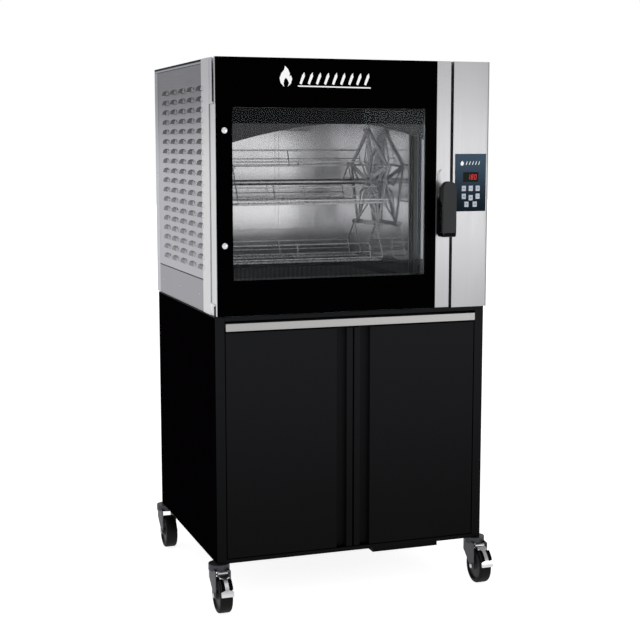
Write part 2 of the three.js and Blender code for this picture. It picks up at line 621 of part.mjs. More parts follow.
// ---------------------------------------------------------------- stand
const railBottom = standTop - SHEET - TOP_RAIL;
const lipTop = railBottom - SHELF.gapAbove;
const lipBottom = lipTop - SHELF.lip;
const standDoorTop = lipBottom - SHELF.gapBelow;
const floorTop = standBottom + SHEET;
const standDoorBottom = floorTop + BOTTOM_RAIL + STAND_DOOR.gapBelow;
const openLeft = standLeft + STILES;
const openRight = standRight - STILES;
const sideZ = [floorTop + GAP, standTop - SHEET - GAP];
const runnerTop = lipTop - SHELF.flange - GAP;

function standSide(name, outer, inward) {
  const x = (d) => outer + inward * d;
  const section = [
    [x(0), standFront], [x(STILES), standFront], [x(STILES), standFront + SHEET],
    [x(SHEET), standFront + SHEET], [x(SHEET), standBack], [x(0), standBack],
  ];
  if (inward < 0) section.reverse();
  const rail = [x(THROUGH), x(SHEET + RUNNER.width)].sort((a, b) => a - b);
  place(name, join(
    prism('z', outline(section), ...sideZ),
    block(rail, [standFront + RUNNER.front, standFront + RUNNER.front + RUNNER.depth],
      [runnerTop - RUNNER.thickness, runnerTop]),
  ), blackSteel());
}
standSide('stand_side_left', standLeft, 1);
standSide('stand_side_right', standRight, -1);
place('stand_back', block(
  [standLeft + SHEET + GAP, standRight - SHEET - GAP], [standBack - SHEET, standBack], sideZ), blackSteel());
place('stand_top', join(
  block([standLeft, standRight], [standFront, standBack], [standTop - SHEET, standTop]),
  block([openLeft + GAP, openRight - GAP], [standFront, standFront + SHEET],
    [railBottom, standTop - THROUGH]),
), blackSteel());

// Castor positions: swivel axes near the four corners.
const castorX = [standLeft + CASTOR.inset, standRight - CASTOR.inset];
const castorY = [standFront + CASTOR.insetY, standBack - CASTOR.insetY];
const headTop = standBottom - GAP;
const headBottom = headTop - CASTOR.headHeight;

{
  const wellX = [ovenLeft + FLOOR_WELL.left, ovenLeft + FLOOR_WELL.left + FLOOR_WELL.width];
  const wellY = [standFront + FLOOR_WELL.front, standFront + FLOOR_WELL.front + FLOOR_WELL.depth];
  const wellBottom = standBottom - FLOOR_WELL.drop;
  const stems = castorX.flatMap((x) => castorY.map((y) =>
    bar('z', CASTOR.stem, [x, y], headBottom + CASTOR.stemTop, standBottom + THROUGH, 16)));
  const floor = join(
    block([standLeft, standRight], [standFront, standBack], [standBottom, floorTop]),
    block([openLeft + GAP, openRight - GAP], [standFront, standFront + SHEET],
      [standBottom + THROUGH, floorTop + BOTTOM_RAIL]),
    block(wellX, wellY, [wellBottom, standBottom + THROUGH]),
    ...stems,
  );
  place('stand_floor', cut(floor, block(
    [wellX[0] + SHEET, wellX[1] - SHEET], [wellY[0] + SHEET, wellY[1] - SHEET],
    [wellBottom + SHEET, floorTop + THROUGH])), blackSteel());
}

// Doors of the stand: folded sheets whose meeting edges have a recessed grip from top to bottom.
function standDoor(name, side) {
  const c = STAND.shift;
  const x = (d) => c + side * d;
  const outer = (openRight - openLeft) / 2 - STAND_DOOR.gap;
  const inner = STAND_DOOR.meeting / 2;
  const lip = inner + STAND_DOOR.lip;
  const grip = lip + STAND_DOOR.grip;
  const f = standFront;
  const edge = f + STAND_DOOR.edge;
  const bottom = f + STAND_DOOR.gripDepth;
  const t = SHEET;
  const section = [
    [x(outer), edge], [x(outer), f], [x(grip), f], [x(grip), bottom], [x(lip), bottom], [x(lip), f],
    [x(inner), f], [x(inner), edge], [x(inner + t), edge], [x(inner + t), f + t], [x(lip - t), f + t],
    [x(lip - t), bottom + t], [x(grip + t), bottom + t], [x(grip + t), f + t],
    [x(outer - t), f + t], [x(outer - t), edge],
  ];
  if (side > 0) section.reverse();
  place(name, prism('z', outline(section), standDoorBottom, standDoorTop), blackSteel());
}
standDoor('stand_door_left', -1);
standDoor('stand_door_right', 1);

{
  const x = [openLeft + SHELF.gapSide, openRight - SHELF.gapSide];
  const front = standFront - SHELF.proud;
  const z = lipTop;
  const y1 = front + SHELF.depth;
  const side = (x0) => block([x0, x0 + SHEET], [standFront + SHELF.flangeSet, y1], [z - SHELF.flange, z]);
  place('pullout_shelf', join(
    block(x, [front, y1], [z - SHEET, z]),
    block(x, [front, front + SHEET], [z - SHELF.lip, z]),
    side(x[0]), side(x[1] - SHEET),
  ), steel());
}

// ---------------------------------------------------------------- castors
const pedalPin = [-CASTOR.trail - PEDAL.pinAhead, 2 * WHEEL.radius + PEDAL.pinRise];

function castorFork(withPin) {
  const { trail, head, leg } = CASTOR;
  const inside = WHEEL.width / 2 + CASTOR.legGap;
  const outside = inside + leg + CASTOR.boss;
  const centre = [-trail, WHEEL.radius];
  const { low, toeFront, toeBack, shoulder, shoulderDrop, topDrop, heel } = FORK;
  const shape = outline([
    [head - topDrop, WHEEL.radius + heel], [-trail + toeBack, WHEEL.radius - low],
    [-trail - toeBack - SHEET, WHEEL.radius - low], [-trail - toeFront, WHEEL.radius + topDrop],
    [-trail - shoulder, headTop - shoulderDrop], [head - topDrop, headTop - topDrop],
  ]);
  const parts = [
    prism('x', shape, -inside - leg, -inside),
    prism('x', shape, inside, inside + leg),
    bar('x', WHEEL.bore - GAP, centre, -outside, outside, 16),
  ];
  if (withPin) parts.push(bar('x', PEDAL.pin, pedalPin, -inside - THROUGH, inside + THROUGH, 12));
  const body = join(bar('z', head, [0, 0], headBottom, headTop, 28), ...parts);
  return cut(body, bar('z', CASTOR.stem + GAP * 2, [0, 0], headBottom - THROUGH, headTop + THROUGH, 20));
}

function wheelRing() {
  const r = WHEEL.radius;
  const w = WHEEL.width / 2;
  const { bore, hub, dish, rim, corner } = WHEEL;
  const half = [
    [bore, w], [hub, w], [hub + corner, w - dish], [r - rim - dish, w - dish],
    [r - rim, w], [r - corner, w], [r, w - dish],
  ];
  return turned('x', [...half.map(([u, v]) => [u, -v]), ...half.reverse()], 26);
}

function brakePedal() {
  const inner = WHEEL.radius + PEDAL.clear;
  const outer = inner + PEDAL.strap;
  const c = [-CASTOR.trail, WHEEL.radius];
  const half = PEDAL.width / 2;
  const { strapFrom, strapTo, footFrom, footTo } = PEDAL;
  const band = (from, to) =>
    outline([...arc(...c, inner, from, to, 8), ...arc(...c, outer, to, from, 8)].reverse());
  return cut(join(
    prism('x', band(strapFrom, strapTo), -half, half),
    prism('x', band(footFrom, footTo), -PEDAL.foot / 2, PEDAL.foot / 2),
    bar('x', PEDAL.eye, pedalPin, -half, half, 16),
  ), bar('x', PEDAL.pin + GAP, pedalPin, -half - THROUGH, half + THROUGH, 16));
}

for (const [x, side] of [[castorX[0], 'left'], [castorX[1], 'right']]) {
  for (const [y, end] of [[castorY[0], 'front'], [castorY[1], 'rear']]) {
    const castor = groupAt([x, y, 0]);
    const braked = end === 'front';
    place(`castor_fork_${end}_${side}`, castorFork(braked), forkGrey(), castor);
    const axle = [0, -CASTOR.trail, WHEEL.radius];
    place(`castor_wheel_${end}_${side}`, wheelRing(), tyreBlack(), castor, axle);
    if (braked) place(`brake_pedal_${side}`, brakePedal(), brightSteel(), castor);
  }
}

// The origin is on the floor at the middle of the footprint.
const whole = new THREE.Box3().setFromObject(model, true);
model.position.set(-(whole.min.x + whole.max.x) / 2, -(whole.min.y + whole.max.y) / 2, -whole.min.z);

export default model;
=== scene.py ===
# Looks of the rotisserie oven: pieces with rounded edges, wires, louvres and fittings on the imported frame.
# Metres, in the frame's coordinates. at(x, y, z) takes millimetres to the right of, behind and above the top
# left corner of the glass door.
import json
import math

import bmesh
import bpy
from mathutils import Matrix, Vector

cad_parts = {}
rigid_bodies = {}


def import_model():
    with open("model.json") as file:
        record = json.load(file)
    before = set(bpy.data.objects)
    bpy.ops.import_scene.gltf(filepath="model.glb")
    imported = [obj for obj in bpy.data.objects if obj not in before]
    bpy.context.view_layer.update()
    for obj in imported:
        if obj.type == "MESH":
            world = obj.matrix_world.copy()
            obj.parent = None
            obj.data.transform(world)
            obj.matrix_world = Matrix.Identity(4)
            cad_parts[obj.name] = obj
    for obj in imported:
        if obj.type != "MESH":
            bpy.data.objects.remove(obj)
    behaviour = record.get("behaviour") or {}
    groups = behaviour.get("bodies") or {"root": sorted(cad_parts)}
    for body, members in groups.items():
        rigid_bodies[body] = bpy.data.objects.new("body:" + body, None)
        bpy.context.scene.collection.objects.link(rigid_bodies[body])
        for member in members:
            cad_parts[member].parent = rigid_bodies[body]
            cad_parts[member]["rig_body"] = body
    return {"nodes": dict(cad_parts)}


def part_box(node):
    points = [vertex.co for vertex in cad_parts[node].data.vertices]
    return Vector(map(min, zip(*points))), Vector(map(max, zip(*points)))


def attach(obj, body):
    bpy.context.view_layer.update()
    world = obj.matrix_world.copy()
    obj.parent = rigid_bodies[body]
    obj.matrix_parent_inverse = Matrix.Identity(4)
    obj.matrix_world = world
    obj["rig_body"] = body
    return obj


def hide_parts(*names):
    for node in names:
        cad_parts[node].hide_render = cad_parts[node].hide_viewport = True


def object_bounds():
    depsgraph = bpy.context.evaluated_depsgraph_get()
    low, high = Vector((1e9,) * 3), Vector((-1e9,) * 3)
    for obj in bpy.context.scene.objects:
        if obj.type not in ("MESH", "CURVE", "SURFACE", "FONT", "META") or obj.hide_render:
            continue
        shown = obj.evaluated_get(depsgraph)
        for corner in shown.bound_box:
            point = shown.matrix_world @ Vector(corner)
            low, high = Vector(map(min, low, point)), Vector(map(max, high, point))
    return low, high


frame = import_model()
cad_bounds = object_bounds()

MM = 0.001
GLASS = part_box("door_glass_outer")
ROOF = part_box("roof_panel")
CORNER = Vector((GLASS[0].x, GLASS[0].y, ROOF[1].z))


def at(x, y, z):
    return CORNER + Vector((x, y, z)) * MM


# ---------------------------------------------------------------- materials
def surface(name, color, roughness, metallic=0.0, stretch=(60, 60, 60), tint=0.05, spread=0.05, bump=0.04,
            depth=0.0002, smudge=0.05, specular=None, top=None, levels=None):
    """A Principled material with fine grain in its colour, roughness and bump.

    top is the colour above the higher of the two levels; below the lower one it is color."""
    m = bpy.data.materials.new(name)
    m.use_nodes = True
    m.diffuse_color = (*color, 1)
    tree = m.node_tree
    nodes, links = tree.nodes, tree.links
    shader = nodes["Principled BSDF"]
    shader.inputs["Metallic"].default_value = metallic
    if specular is not None:
        shader.inputs["Specular IOR Level"].default_value = specular
    where = nodes.new("ShaderNodeTexCoord")
    grain_map = nodes.new("ShaderNodeMapping")
    grain_map.inputs["Scale"].default_value = stretch
    links.new(where.outputs["Object"], grain_map.inputs["Vector"])
    grain = nodes.new("ShaderNodeTexNoise")
    grain.inputs["Scale"].default_value = 1.0
    grain.inputs["Detail"].default_value = 4.0
    links.new(grain_map.outputs["Vector"], grain.inputs["Vector"])
    cloud = nodes.new("ShaderNodeTexNoise")
    cloud.inputs["Scale"].default_value = 7.0
    cloud.inputs["Detail"].default_value = 3.0
    links.new(where.outputs["Object"], cloud.inputs["Vector"])

    rough = nodes.new("ShaderNodeMapRange")
    rough.inputs["From Min"].default_value = 0.3
    rough.inputs["From Max"].default_value = 0.7
    rough.inputs["To Min"].default_value = max(0.0, roughness - spread)
    rough.inputs["To Max"].default_value = roughness + spread
    links.new(grain.outputs["Fac"], rough.inputs["Value"])
    smear = nodes.new("ShaderNodeMath")
    smear.operation = "MULTIPLY_ADD"
    smear.inputs[1].default_value = smudge
    links.new(cloud.outputs["Fac"], smear.inputs[0])
    links.new(rough.outputs["Result"], smear.inputs[2])
    links.new(smear.outputs["Value"], shader.inputs["Roughness"])

    ramp = nodes.new("ShaderNodeMapRange")
    ramp.data_type = "FLOAT_VECTOR"
    ramp.inputs[7].default_value = (0.3, 0.3, 0.3)
    ramp.inputs[8].default_value = (0.7, 0.7, 0.7)
    ramp.inputs[9].default_value = [c * (1 - tint) for c in color]
    ramp.inputs[10].default_value = [c * (1 + tint) for c in color]
    links.new(grain.outputs["Fac"], ramp.inputs[6])
    colour = ramp.outputs[1]
    if top is not None:
        split = nodes.new("ShaderNodeSeparateXYZ")
        links.new(where.outputs["Object"], split.inputs["Vector"])
        height = nodes.new("ShaderNodeMapRange")
        height.interpolation_type = "SMOOTHSTEP"
        height.inputs["From Min"].default_value = levels[0]
        height.inputs["From Max"].default_value = levels[1]
        links.new(split.outputs["Z"], height.inputs["Value"])
        mix = nodes.new("ShaderNodeMix")
        mix.data_type = "RGBA"
        links.new(height.outputs["Result"], mix.inputs["Factor"])
        links.new(colour, mix.inputs["A"])
        mix.inputs["B"].default_value = (*top, 1)
        colour = mix.outputs["Result"]
    links.new(colour, shader.inputs["Base Color"])

    if bump:
        relief = nodes.new("ShaderNodeBump")
        relief.inputs["Strength"].default_value = bump
        relief.inputs["Distance"].default_value = depth
        links.new(grain.outputs["Fac"], relief.inputs["Height"])
        links.new(relief.outputs["Normal"], shader.inputs["Normal"])
    return m


UPRIGHT = (700, 700, 5)
ACROSS = (5, 700, 700)
FRONT_BACK = (700, 5, 700)

ROOF_Z = CORNER.z
OVEN_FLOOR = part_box("cavity_floor")[1].z
steel = surface("brushed_steel", (0.40, 0.40, 0.41), 0.30, 1.0, UPRIGHT, 0.04, 0.05, 0.05)
# The side sheet turns darker towards the roof: painted shade that changes with height.
side_steel = surface("side_steel", (0.66, 0.66, 0.70), 0.40, 1.0, FRONT_BACK, 0.04, 0.05, 0.05,
                     top=(0.215, 0.215, 0.24), levels=(ROOF_Z - 0.40, ROOF_Z - 0.06))
low_steel = surface("side_foot_steel", (0.47, 0.47, 0.51), 0.40, 1.0, FRONT_BACK, 0.04, 0.05, 0.05)
# The flange and the roof lap turn darker towards the roof: painted shade that changes with height.
flange_steel = surface("side_flange_steel", (0.79, 0.81, 0.85), 0.45, 1.0, UPRIGHT, 0.04, 0.05, 0.05,
                       top=(0.42, 0.44, 0.47), levels=(ROOF_Z - 0.45, ROOF_Z - 0.05))
# The front post and the door frame turn darker towards the roof: painted shade that changes with height.
post_steel = surface("post_steel", (0.97, 0.97, 0.98), 0.40, 1.0, UPRIGHT, 0.03, 0.05, 0.05,
                     top=(0.64, 0.64, 0.67), levels=(ROOF_Z - 0.40, ROOF_Z - 0.02))
# The hoods' tops and sides: a darker copy of the side steel as painted shade, near black in the upper rows as
# painted shade inside the openings.
hood_steel_painted_shade = surface("hood_steel_painted_shade", (0.34, 0.34, 0.36), 0.42, 1.0, FRONT_BACK, 0.05, 0.05, 0.05,
                     top=(0.010, 0.010, 0.012), levels=(ROOF_Z - 0.72, ROOF_Z - 0.10))
# The hoods' ends: a bright copy of the steel as a painted highlight.
hood_end_highlight = surface("hood_end_steel", (0.97, 0.97, 0.98), 0.50, 1.0, (90, 90, 90), 0.02, 0.05, 0.03)
# Near-black strips at the laps' edges: painted shade in the gaps between the sheets.
seam_shade = surface("painted_seam_shade", (0.012, 0.012, 0.014), 0.6, 0.0, (200, 200, 200), 0.08, 0.05, 0.02, specular=0.05)
back_steel = surface("back_steel", (0.55, 0.55, 0.56), 0.34, 1.0, UPRIGHT, 0.04, 0.05, 0.05)
bar_steel = surface("bar_steel", (0.42, 0.415, 0.41), 0.32, 1.0, ACROSS, 0.04, 0.05, 0.05)
# The back liner and the fan cover turn dark near the cavity floor: painted shade.
liner_back = surface("liner_back", (0.16, 0.16, 0.16), 0.20, 1.0, ACROSS, 0.03, 0.02, 0.02,
                     top=(0.72, 0.72, 0.73), levels=(OVEN_FLOOR + 0.05, OVEN_FLOOR + 0.24))
liner_side = surface("liner_side", (0.60, 0.60, 0.62), 0.09, 1.0, UPRIGHT, 0.03, 0.02, 0.02)
liner_floor = surface("liner_floor", (0.060, 0.060, 0.063), 0.32, 1.0, ACROSS, 0.06, 0.06, 0.06)
liner_roof = surface("liner_roof", (0.30, 0.30, 0.31), 0.32, 1.0, ACROSS, 0.06, 0.06, 0.06)
bright = surface("bright_steel", (0.72, 0.72, 0.74), 0.16, 1.0, (90, 90, 90), 0.04, 0.04, 0.03)
frame_bar = surface("star_steel", (0.42, 0.42, 0.43), 0.28, 1.0, (160, 160, 160), 0.08, 0.06, 0.08)
wire = surface("basket_wire", (0.80, 0.80, 0.82), 0.25, 1.0, (220, 220, 220), 0.05, 0.05, 0.04)
ink = surface("black_print", (0.0002, 0.0002, 0.0003), 0.05, 0.0, (40, 40, 40), 0.05, 0.01, 0.0, smudge=0.02,
              specular=0.004)
# The glass edge turns near black above the upper hinge's hollow: painted shade in the recess.
glass_edge = surface("glass_edge", (0.36, 0.48, 0.47), 0.2, 0.0, (30, 30, 30), 0.1, 0.03, 0.02, specular=0.1,
                     top=(0.006, 0.024, 0.022), levels=(ROOF_Z - 0.158, ROOF_Z - 0.150))
frit_dark = surface("frit_dark", (0.0045, 0.0045, 0.0050), 0.4, 0.0, (400, 400, 3), 0.3, 0.05, 0.0,
                    specular=0.0)
frit_grey = surface("frit_grey", (0.036, 0.036, 0.038), 0.4, 0.0, (400, 400, 3), 0.25, 0.05, 0.0,
                    specular=0.05)
edge_blue = surface("edge_blue", (0.010, 0.016, 0.030), 0.4, 0.0, (200, 200, 200), 0.1, 0.05, 0.0,
                    specular=0.1)
edge_grey = surface("edge_grey", (0.30, 0.31, 0.32), 0.4, 0.0, (200, 200, 200), 0.05, 0.05, 0.0)
white_print = surface("white_print", (0.86, 0.86, 0.86), 0.4, 0.0, (200, 200, 200), 0.02, 0.04, 0.0)
STAND_FLOOR, STAND_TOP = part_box("stand_floor")[0].z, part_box("stand_top")[1].z
# The stand's black turns lighter towards its top: painted light that changes with height.
black_steel = surface("black_powder", (0.0036, 0.0036, 0.0040), 0.42, 0.0, (420, 420, 420), 0.10, 0.05, 0.05,
                      0.00015, specular=0.03, top=(0.0092, 0.0096, 0.0105), levels=(STAND_FLOOR, STAND_TOP))
# A darker copy of the black powder coat for the stand's side faces: painted shade.
black_side_painted_shade = surface("black_side_painted_shade", (0.0012, 0.0008, 0.0012), 0.5, 0.0, (420, 420, 420), 0.10, 0.05, 0.05,
                     0.00015, specular=0.0)
charcoal = surface("charcoal", (0.030, 0.031, 0.032), 0.46, 0.0, (500, 500, 500), 0.06, 0.04, 0.08, 0.0002,
                   specular=0.10)
deep_black = surface("deep_black", (0.0015, 0.0015, 0.0015), 0.45, 0.0, (300, 300, 300), 0.1, 0.05, 0.04,
                     specular=0.04)
panel_lo, panel_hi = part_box("control_panel")
navy = surface("navy_film", (0.0008, 0.0065, 0.0130), 0.33, 0.0, (260, 260, 260), 0.05, 0.03, 0.03, 0.0001,
               specular=0.05, top=(0.040, 0.068, 0.102), levels=(panel_lo.z, panel_hi.z))
key_plastic = surface("key_plastic", (0.46, 0.50, 0.56), 0.42, 0.0, (350, 350, 350), 0.04, 0.04, 0.04)
glyph = surface("glyph_print", (0.05, 0.08, 0.12), 0.5, 0.0, (200, 200, 200), 0.05, 0.04, 0.0)
lens = surface("display_lens", (0.002, 0.004, 0.002), 0.12, 0.0, (60, 60, 60), 0.05, 0.02, 0.0, specular=0.06)
rubber = surface("seal_rubber", (0.012, 0.012, 0.012), 0.6, 0.0, (300, 300, 300), 0.1, 0.06, 0.1,
                 specular=0.3)
motor_paint = surface("motor_paint", (0.09, 0.10, 0.11), 0.45, 0.3, (200, 200, 200), 0.08, 0.06, 0.08)
fork_metal = surface("fork_metal", (0.040, 0.043, 0.050), 0.38, 0.4, (220, 220, 220), 0.08, 0.06, 0.06)
tyre = surface("tyre_rubber", (0.003, 0.003, 0.0033), 0.5, 0.0, (260, 260, 260), 0.12, 0.06, 0.10,
               specular=0.12)
hub_grey = surface("hub_grey", (0.018, 0.018, 0.020), 0.4, 0.0, (260, 260, 260), 0.08, 0.05, 0.05,
                   specular=0.2)


def clear_glass(name, tint, strength):
    """Window glass: a mirror as strong as the Fresnel reflection over what is behind it."""
    m = bpy.data.materials.new(name)
    m.use_nodes = True
    nodes, links = m.node_tree.nodes, m.node_tree.links
    shader = nodes["Principled BSDF"]
    shader.inputs["Base Color"].default_value = (*tint, 1)
    shader.inputs["Metallic"].default_value = 1.0
    shader.inputs["Roughness"].default_value = 0.03
    edge = nodes.new("ShaderNodeFresnel")
    edge.inputs["IOR"].default_value = 1.45
    share = nodes.new("ShaderNodeMath")
    share.operation = "MULTIPLY"
    share.inputs[1].default_value = strength
    links.new(edge.outputs["Fac"], share.inputs[0])
    links.new(share.outputs["Value"], shader.inputs["Alpha"])
    return m


window_glass = clear_glass("window_glass", (0.55, 0.6, 0.62), 0.25)


def glowing(name, color, strength):
    m = surface(name, color, 0.4, 0.0, (60, 60, 60), 0.02, 0.02, 0.0)
    shader = m.node_tree.nodes["Principled BSDF"]
    shader.inputs["Emission Color"].default_value = (*color, 1)
    shader.inputs["Emission Strength"].default_value = strength
    return m


red_glow = glowing("red_digit", (1.0, 0.02, 0.03), 0.45)
lamp_glow = glowing("lamp_lens", (1.0, 0.97, 0.92), 6.0)


# ---------------------------------------------------------------- making pieces
class Shape:
    """Closed solids gathered into one mesh."""

    def __init__(self):
        self.bm = bmesh.new()

    def block(self, a, b):
        lo = [min(p, q) for p, q in zip(a, b)]
        hi = [max(p, q) for p, q in zip(a, b)]
        xs, ys, zs = zip(lo, hi)
        v = [self.bm.verts.new((x, y, z)) for x in xs for y in ys for z in zs]
        for f in ((0, 1, 3, 2), (4, 6, 7, 5), (0, 4, 5, 1), (2, 3, 7, 6), (0, 2, 6, 4), (1, 5, 7, 3)):
            self.bm.faces.new([v[i] for i in f])
        return self

    def slab(self, quad, thickness):
        """Four corners and an offset vector make a flat plate."""
        low = [self.bm.verts.new(p) for p in quad]
        high = [self.bm.verts.new(Vector(p) + Vector(thickness)) for p in quad]
        self.bm.faces.new(low)
        self.bm.faces.new(high[::-1])
        for i in range(len(quad)):
            j = (i + 1) % len(quad)
            self.bm.faces.new([low[i], low[j], high[j], high[i]])
        return self

    def prism(self, axis, outline, a, b, holes=()):
        """An outline in the plane across the axis ("x": y, z; "y": x, z; "z": x, y) from a to b."""
        def point(u, v):
            return {"x": (a, u, v), "y": (u, a, v), "z": (u, v, a)}[axis]
        edges = []
        for loop in (outline, *holes):
            ring = [self.bm.verts.new(point(u, v)) for u, v in loop]
            edges += [self.bm.edges.new((ring[i], ring[(i + 1) % len(ring)])) for i in range(len(ring))]
        filled = bmesh.ops.triangle_fill(self.bm, use_beauty=True, use_dissolve=False, edges=edges)
        faces = [g for g in filled["geom"] if isinstance(g, bmesh.types.BMFace)]
        out = bmesh.ops.extrude_face_region(self.bm, geom=faces)
        step = {"x": Vector((b - a, 0, 0)), "y": Vector((0, b - a, 0)), "z": Vector((0, 0, b - a))}[axis]
        lifted = [g for g in out["geom"] if isinstance(g, bmesh.types.BMVert)]
        bmesh.ops.translate(self.bm, vec=step, verts=lifted)
        return self

    def turned(self, axis, centre, profile, sides=40, closed=False):
        """A profile of (radius, distance along the axis) turned round the axis through centre."""
        c = Vector(centre)
        rings = []
        for r, t in profile:
            ring = []
            for i in range(1 if r == 0 else sides):
                angle = 2 * math.pi * i / sides
                u, v = r * math.cos(angle), r * math.sin(angle)
                offset = {"x": (t, u, v), "y": (u, t, v), "z": (u, v, t)}[axis]
                ring.append(self.bm.verts.new(c + Vector(offset)))
            rings.append(ring)
        pairs = list(zip(rings, rings[1:])) + ([(rings[-1], rings[0])] if closed else [])
        for p, q in pairs:
            for i in range(sides):
                j = (i + 1) % sides
                face = [p[i % len(p)], p[j % len(p)], q[j % len(q)], q[i % len(q)]]
                unique = [v for n, v in enumerate(face) if v not in face[:n]]
                if len(unique) > 2:
                    self.bm.faces.new(unique)
        return self

    def rod(self, p, q, radius, sides=12):
        return self.tube([p, q], radius, sides)

    def tube(self, points, radius, sides=8, closed=False):
        points = [Vector(p) for p in points]
        n = len(points)
        rings = []
        normal = None
        for i, p in enumerate(points):
            before = points[i - 1] if (i or closed) else None
            after = points[(i + 1) % n] if (i < n - 1 or closed) else None
            t_in = (p - before).normalized() if before is not None else None
            t_out = (after - p).normalized() if after is not None else None
            inside = t_in is not None and t_out is not None
            tangent = (t_in + t_out).normalized() if inside else (t_in or t_out)
            if normal is None:
                helper = Vector((0, 0, 1)) if abs(tangent.z) < 0.9 else Vector((1, 0, 0))
                normal = tangent.cross(helper).normalized()
            normal = (normal - tangent * normal.dot(tangent)).normalized()
            side = tangent.cross(normal)
            stretch = 1.0
            if inside:
                stretch = 1 / max(0.5, math.sqrt(max(0.0, (1 + t_in.dot(t_out)) / 2)))
            bend = (t_out - t_in) if inside else Vector()
            ring = []
            for k in range(sides):
                a = 2 * math.pi * k / sides
                offset = normal * math.cos(a) * radius + side * math.sin(a) * radius
                if bend.length > 1e-6:
                    along = bend.normalized()
                    offset += along * offset.dot(along) * (stretch - 1)
                ring.append(self.bm.verts.new(p + offset))
            rings.append(ring)
        for p, q in list(zip(rings, rings[1:])) + ([(rings[-1], rings[0])] if closed else []):
            for k in range(sides):
                self.bm.faces.new([p[k], p[(k + 1) % sides], q[(k + 1) % sides], q[k]])
        if not closed:
            self.bm.faces.new(rings[0][::-1])
            self.bm.faces.new(rings[-1])
        return self

    def piece(self, name, material, body, bevel=0.0, segments=2, slot=None, replaces=(), sharp=35, extra=(),
              pick=None):
        """The finished object. pick(normal, centre) gives a face's place in (material, *extra)."""
        bmesh.ops.recalc_face_normals(self.bm, faces=self.bm.faces)
        mesh = bpy.data.meshes.new(name)
        self.bm.normal_update()
        for m in (material, *extra):
            mesh.materials.append(m)
        for face in self.bm.faces:
            face.smooth = True
            if pick:
                face.material_index = pick(face.normal, face.calc_center_median())
        self.bm.to_mesh(mesh)
        self.bm.free()
        mesh.set_sharp_from_angle(angle=math.radians(sharp))
        obj = bpy.data.objects.new(name, mesh)
        bpy.context.scene.collection.objects.link(obj)
        if bevel:
            rounding = obj.modifiers.new("rounding", "BEVEL")
            rounding.width = bevel
            rounding.segments = segments
            rounding.limit_method = "ANGLE"
            rounding.angle_limit = math.radians(sharp)
            rounding.harden_normals = True
        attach(obj, body)
        if replaces:
            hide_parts(*replaces)
        return obj


def body_of(node):
    return frame["nodes"][node]["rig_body"]


def rounded_copy(node, material, bevel, slot, segments=2, sharp=30, **rest):
    """The CAD node's own shape with its edges rounded, in place of the node."""
    shape = Shape()
    shape.bm.from_mesh(frame["nodes"][node].data)
    bmesh.ops.remove_doubles(shape.bm, verts=shape.bm.verts, dist=1e-6)
    flat = math.radians(0.5)
    bmesh.ops.dissolve_limit(shape.bm, angle_limit=flat, verts=shape.bm.verts, edges=shape.bm.edges)
    for face in shape.bm.faces:
        face.material_index = 0
    return shape.piece(node + ".shaped", material, body_of(node), bevel, segments, slot, (node,), sharp,
                       **rest)


def paint(node, material):
    slots = frame["nodes"][node].material_slots
    for s in slots:
        s.material = material


def filleted(points, radius, closed=False, steps=5):
    """A path with its corners turned into arcs."""
    points = [Vector(p) for p in points]
    out = []
    n = len(points)
    for i, p in enumerate(points):
        if not closed and i in (0, n - 1):
            out.append(p)
            continue
        a = (points[i - 1] - p)
        b = (points[(i + 1) % n] - p)
        reach = min(radius, a.length * 0.45, b.length * 0.45)
        p0, p2 = p + a.normalized() * reach, p + b.normalized() * reach
        for s in range(steps + 1):
            t = s / steps
            out.append(p0 * (1 - t) ** 2 + p * 2 * t * (1 - t) + p2 * t ** 2)
    return out


def mm(*profile):
    """Pairs in millimetres as pairs in metres."""
    return [(u * MM, v * MM) for u, v in profile]


def screw(shape, centre, axis, radius, height):
    """A domed screw head with its base at centre, standing out along axis (a letter and a sign)."""
    letter, sign = axis
    profile = [(0, 0), (radius, 0), (radius, sign * height * 0.35)]
    profile += [(radius * math.cos(a), sign * height * (0.35 + 0.65 * math.sin(a))) for a in (0.4, 0.8, 1.2)]
    profile += [(0, sign * height)]
    shape.turned(letter, centre, profile, 20)


# ---------------------------------------------------------------- casing
SIDE_BOTTOM = -862.5  # lower edge of the side's laps, above the roof
LOUVRE_ROWS, LOUVRE_COLUMNS = 18, 5
LOUVRE_FIRST, LOUVRE_PITCH = (191, -97), (129, -35.9)  # behind the door's face, and above the roof
HOOD = [(24, 9, 0), (31, 4, 6.2), (34, -8, 8.6), (36, -8, 0)]  # half length, height and how far it stands out


def louvre_hood(hood, face, sign, y, z):
    """A pressed hood over one slot: closed at its top and both ends, open below."""
    skins = []
    for inward, lower in ((0, 0), (0.9, 0.4)):
        ring = {}
        for step, (half, up, out) in enumerate(HOOD):
            x = face + sign * max(0.05, out - inward) * MM
            reach = half - inward
            height = z + (up - lower) * MM
            ring[step] = [hood.bm.verts.new((x, y + end * reach * MM, height)) for end in (-1, 1)]
        hood.bm.faces.new([ring[0][0], ring[0][1], ring[1][1], ring[1][0]])
        hood.bm.faces.new([ring[1][0], ring[1][1], ring[2][1], ring[2][0]])
        hood.bm.faces.new([ring[0][0], ring[1][0], ring[2][0], ring[3][0]])
        hood.bm.faces.new([ring[0][1], ring[3][1], ring[2][1], ring[1][1]])
        skins.append(ring)
    rim = [(3, 0), (2, 0), (2, 1), (3, 1), (0, 1), (0, 0)]
    outer, inner = skins
    for (p, i), (q, j) in zip(rim, rim[1:] + rim[:1]):
        hood.bm.faces.new([outer[p][i], outer[q][j], inner[q][j], inner[p][i]])


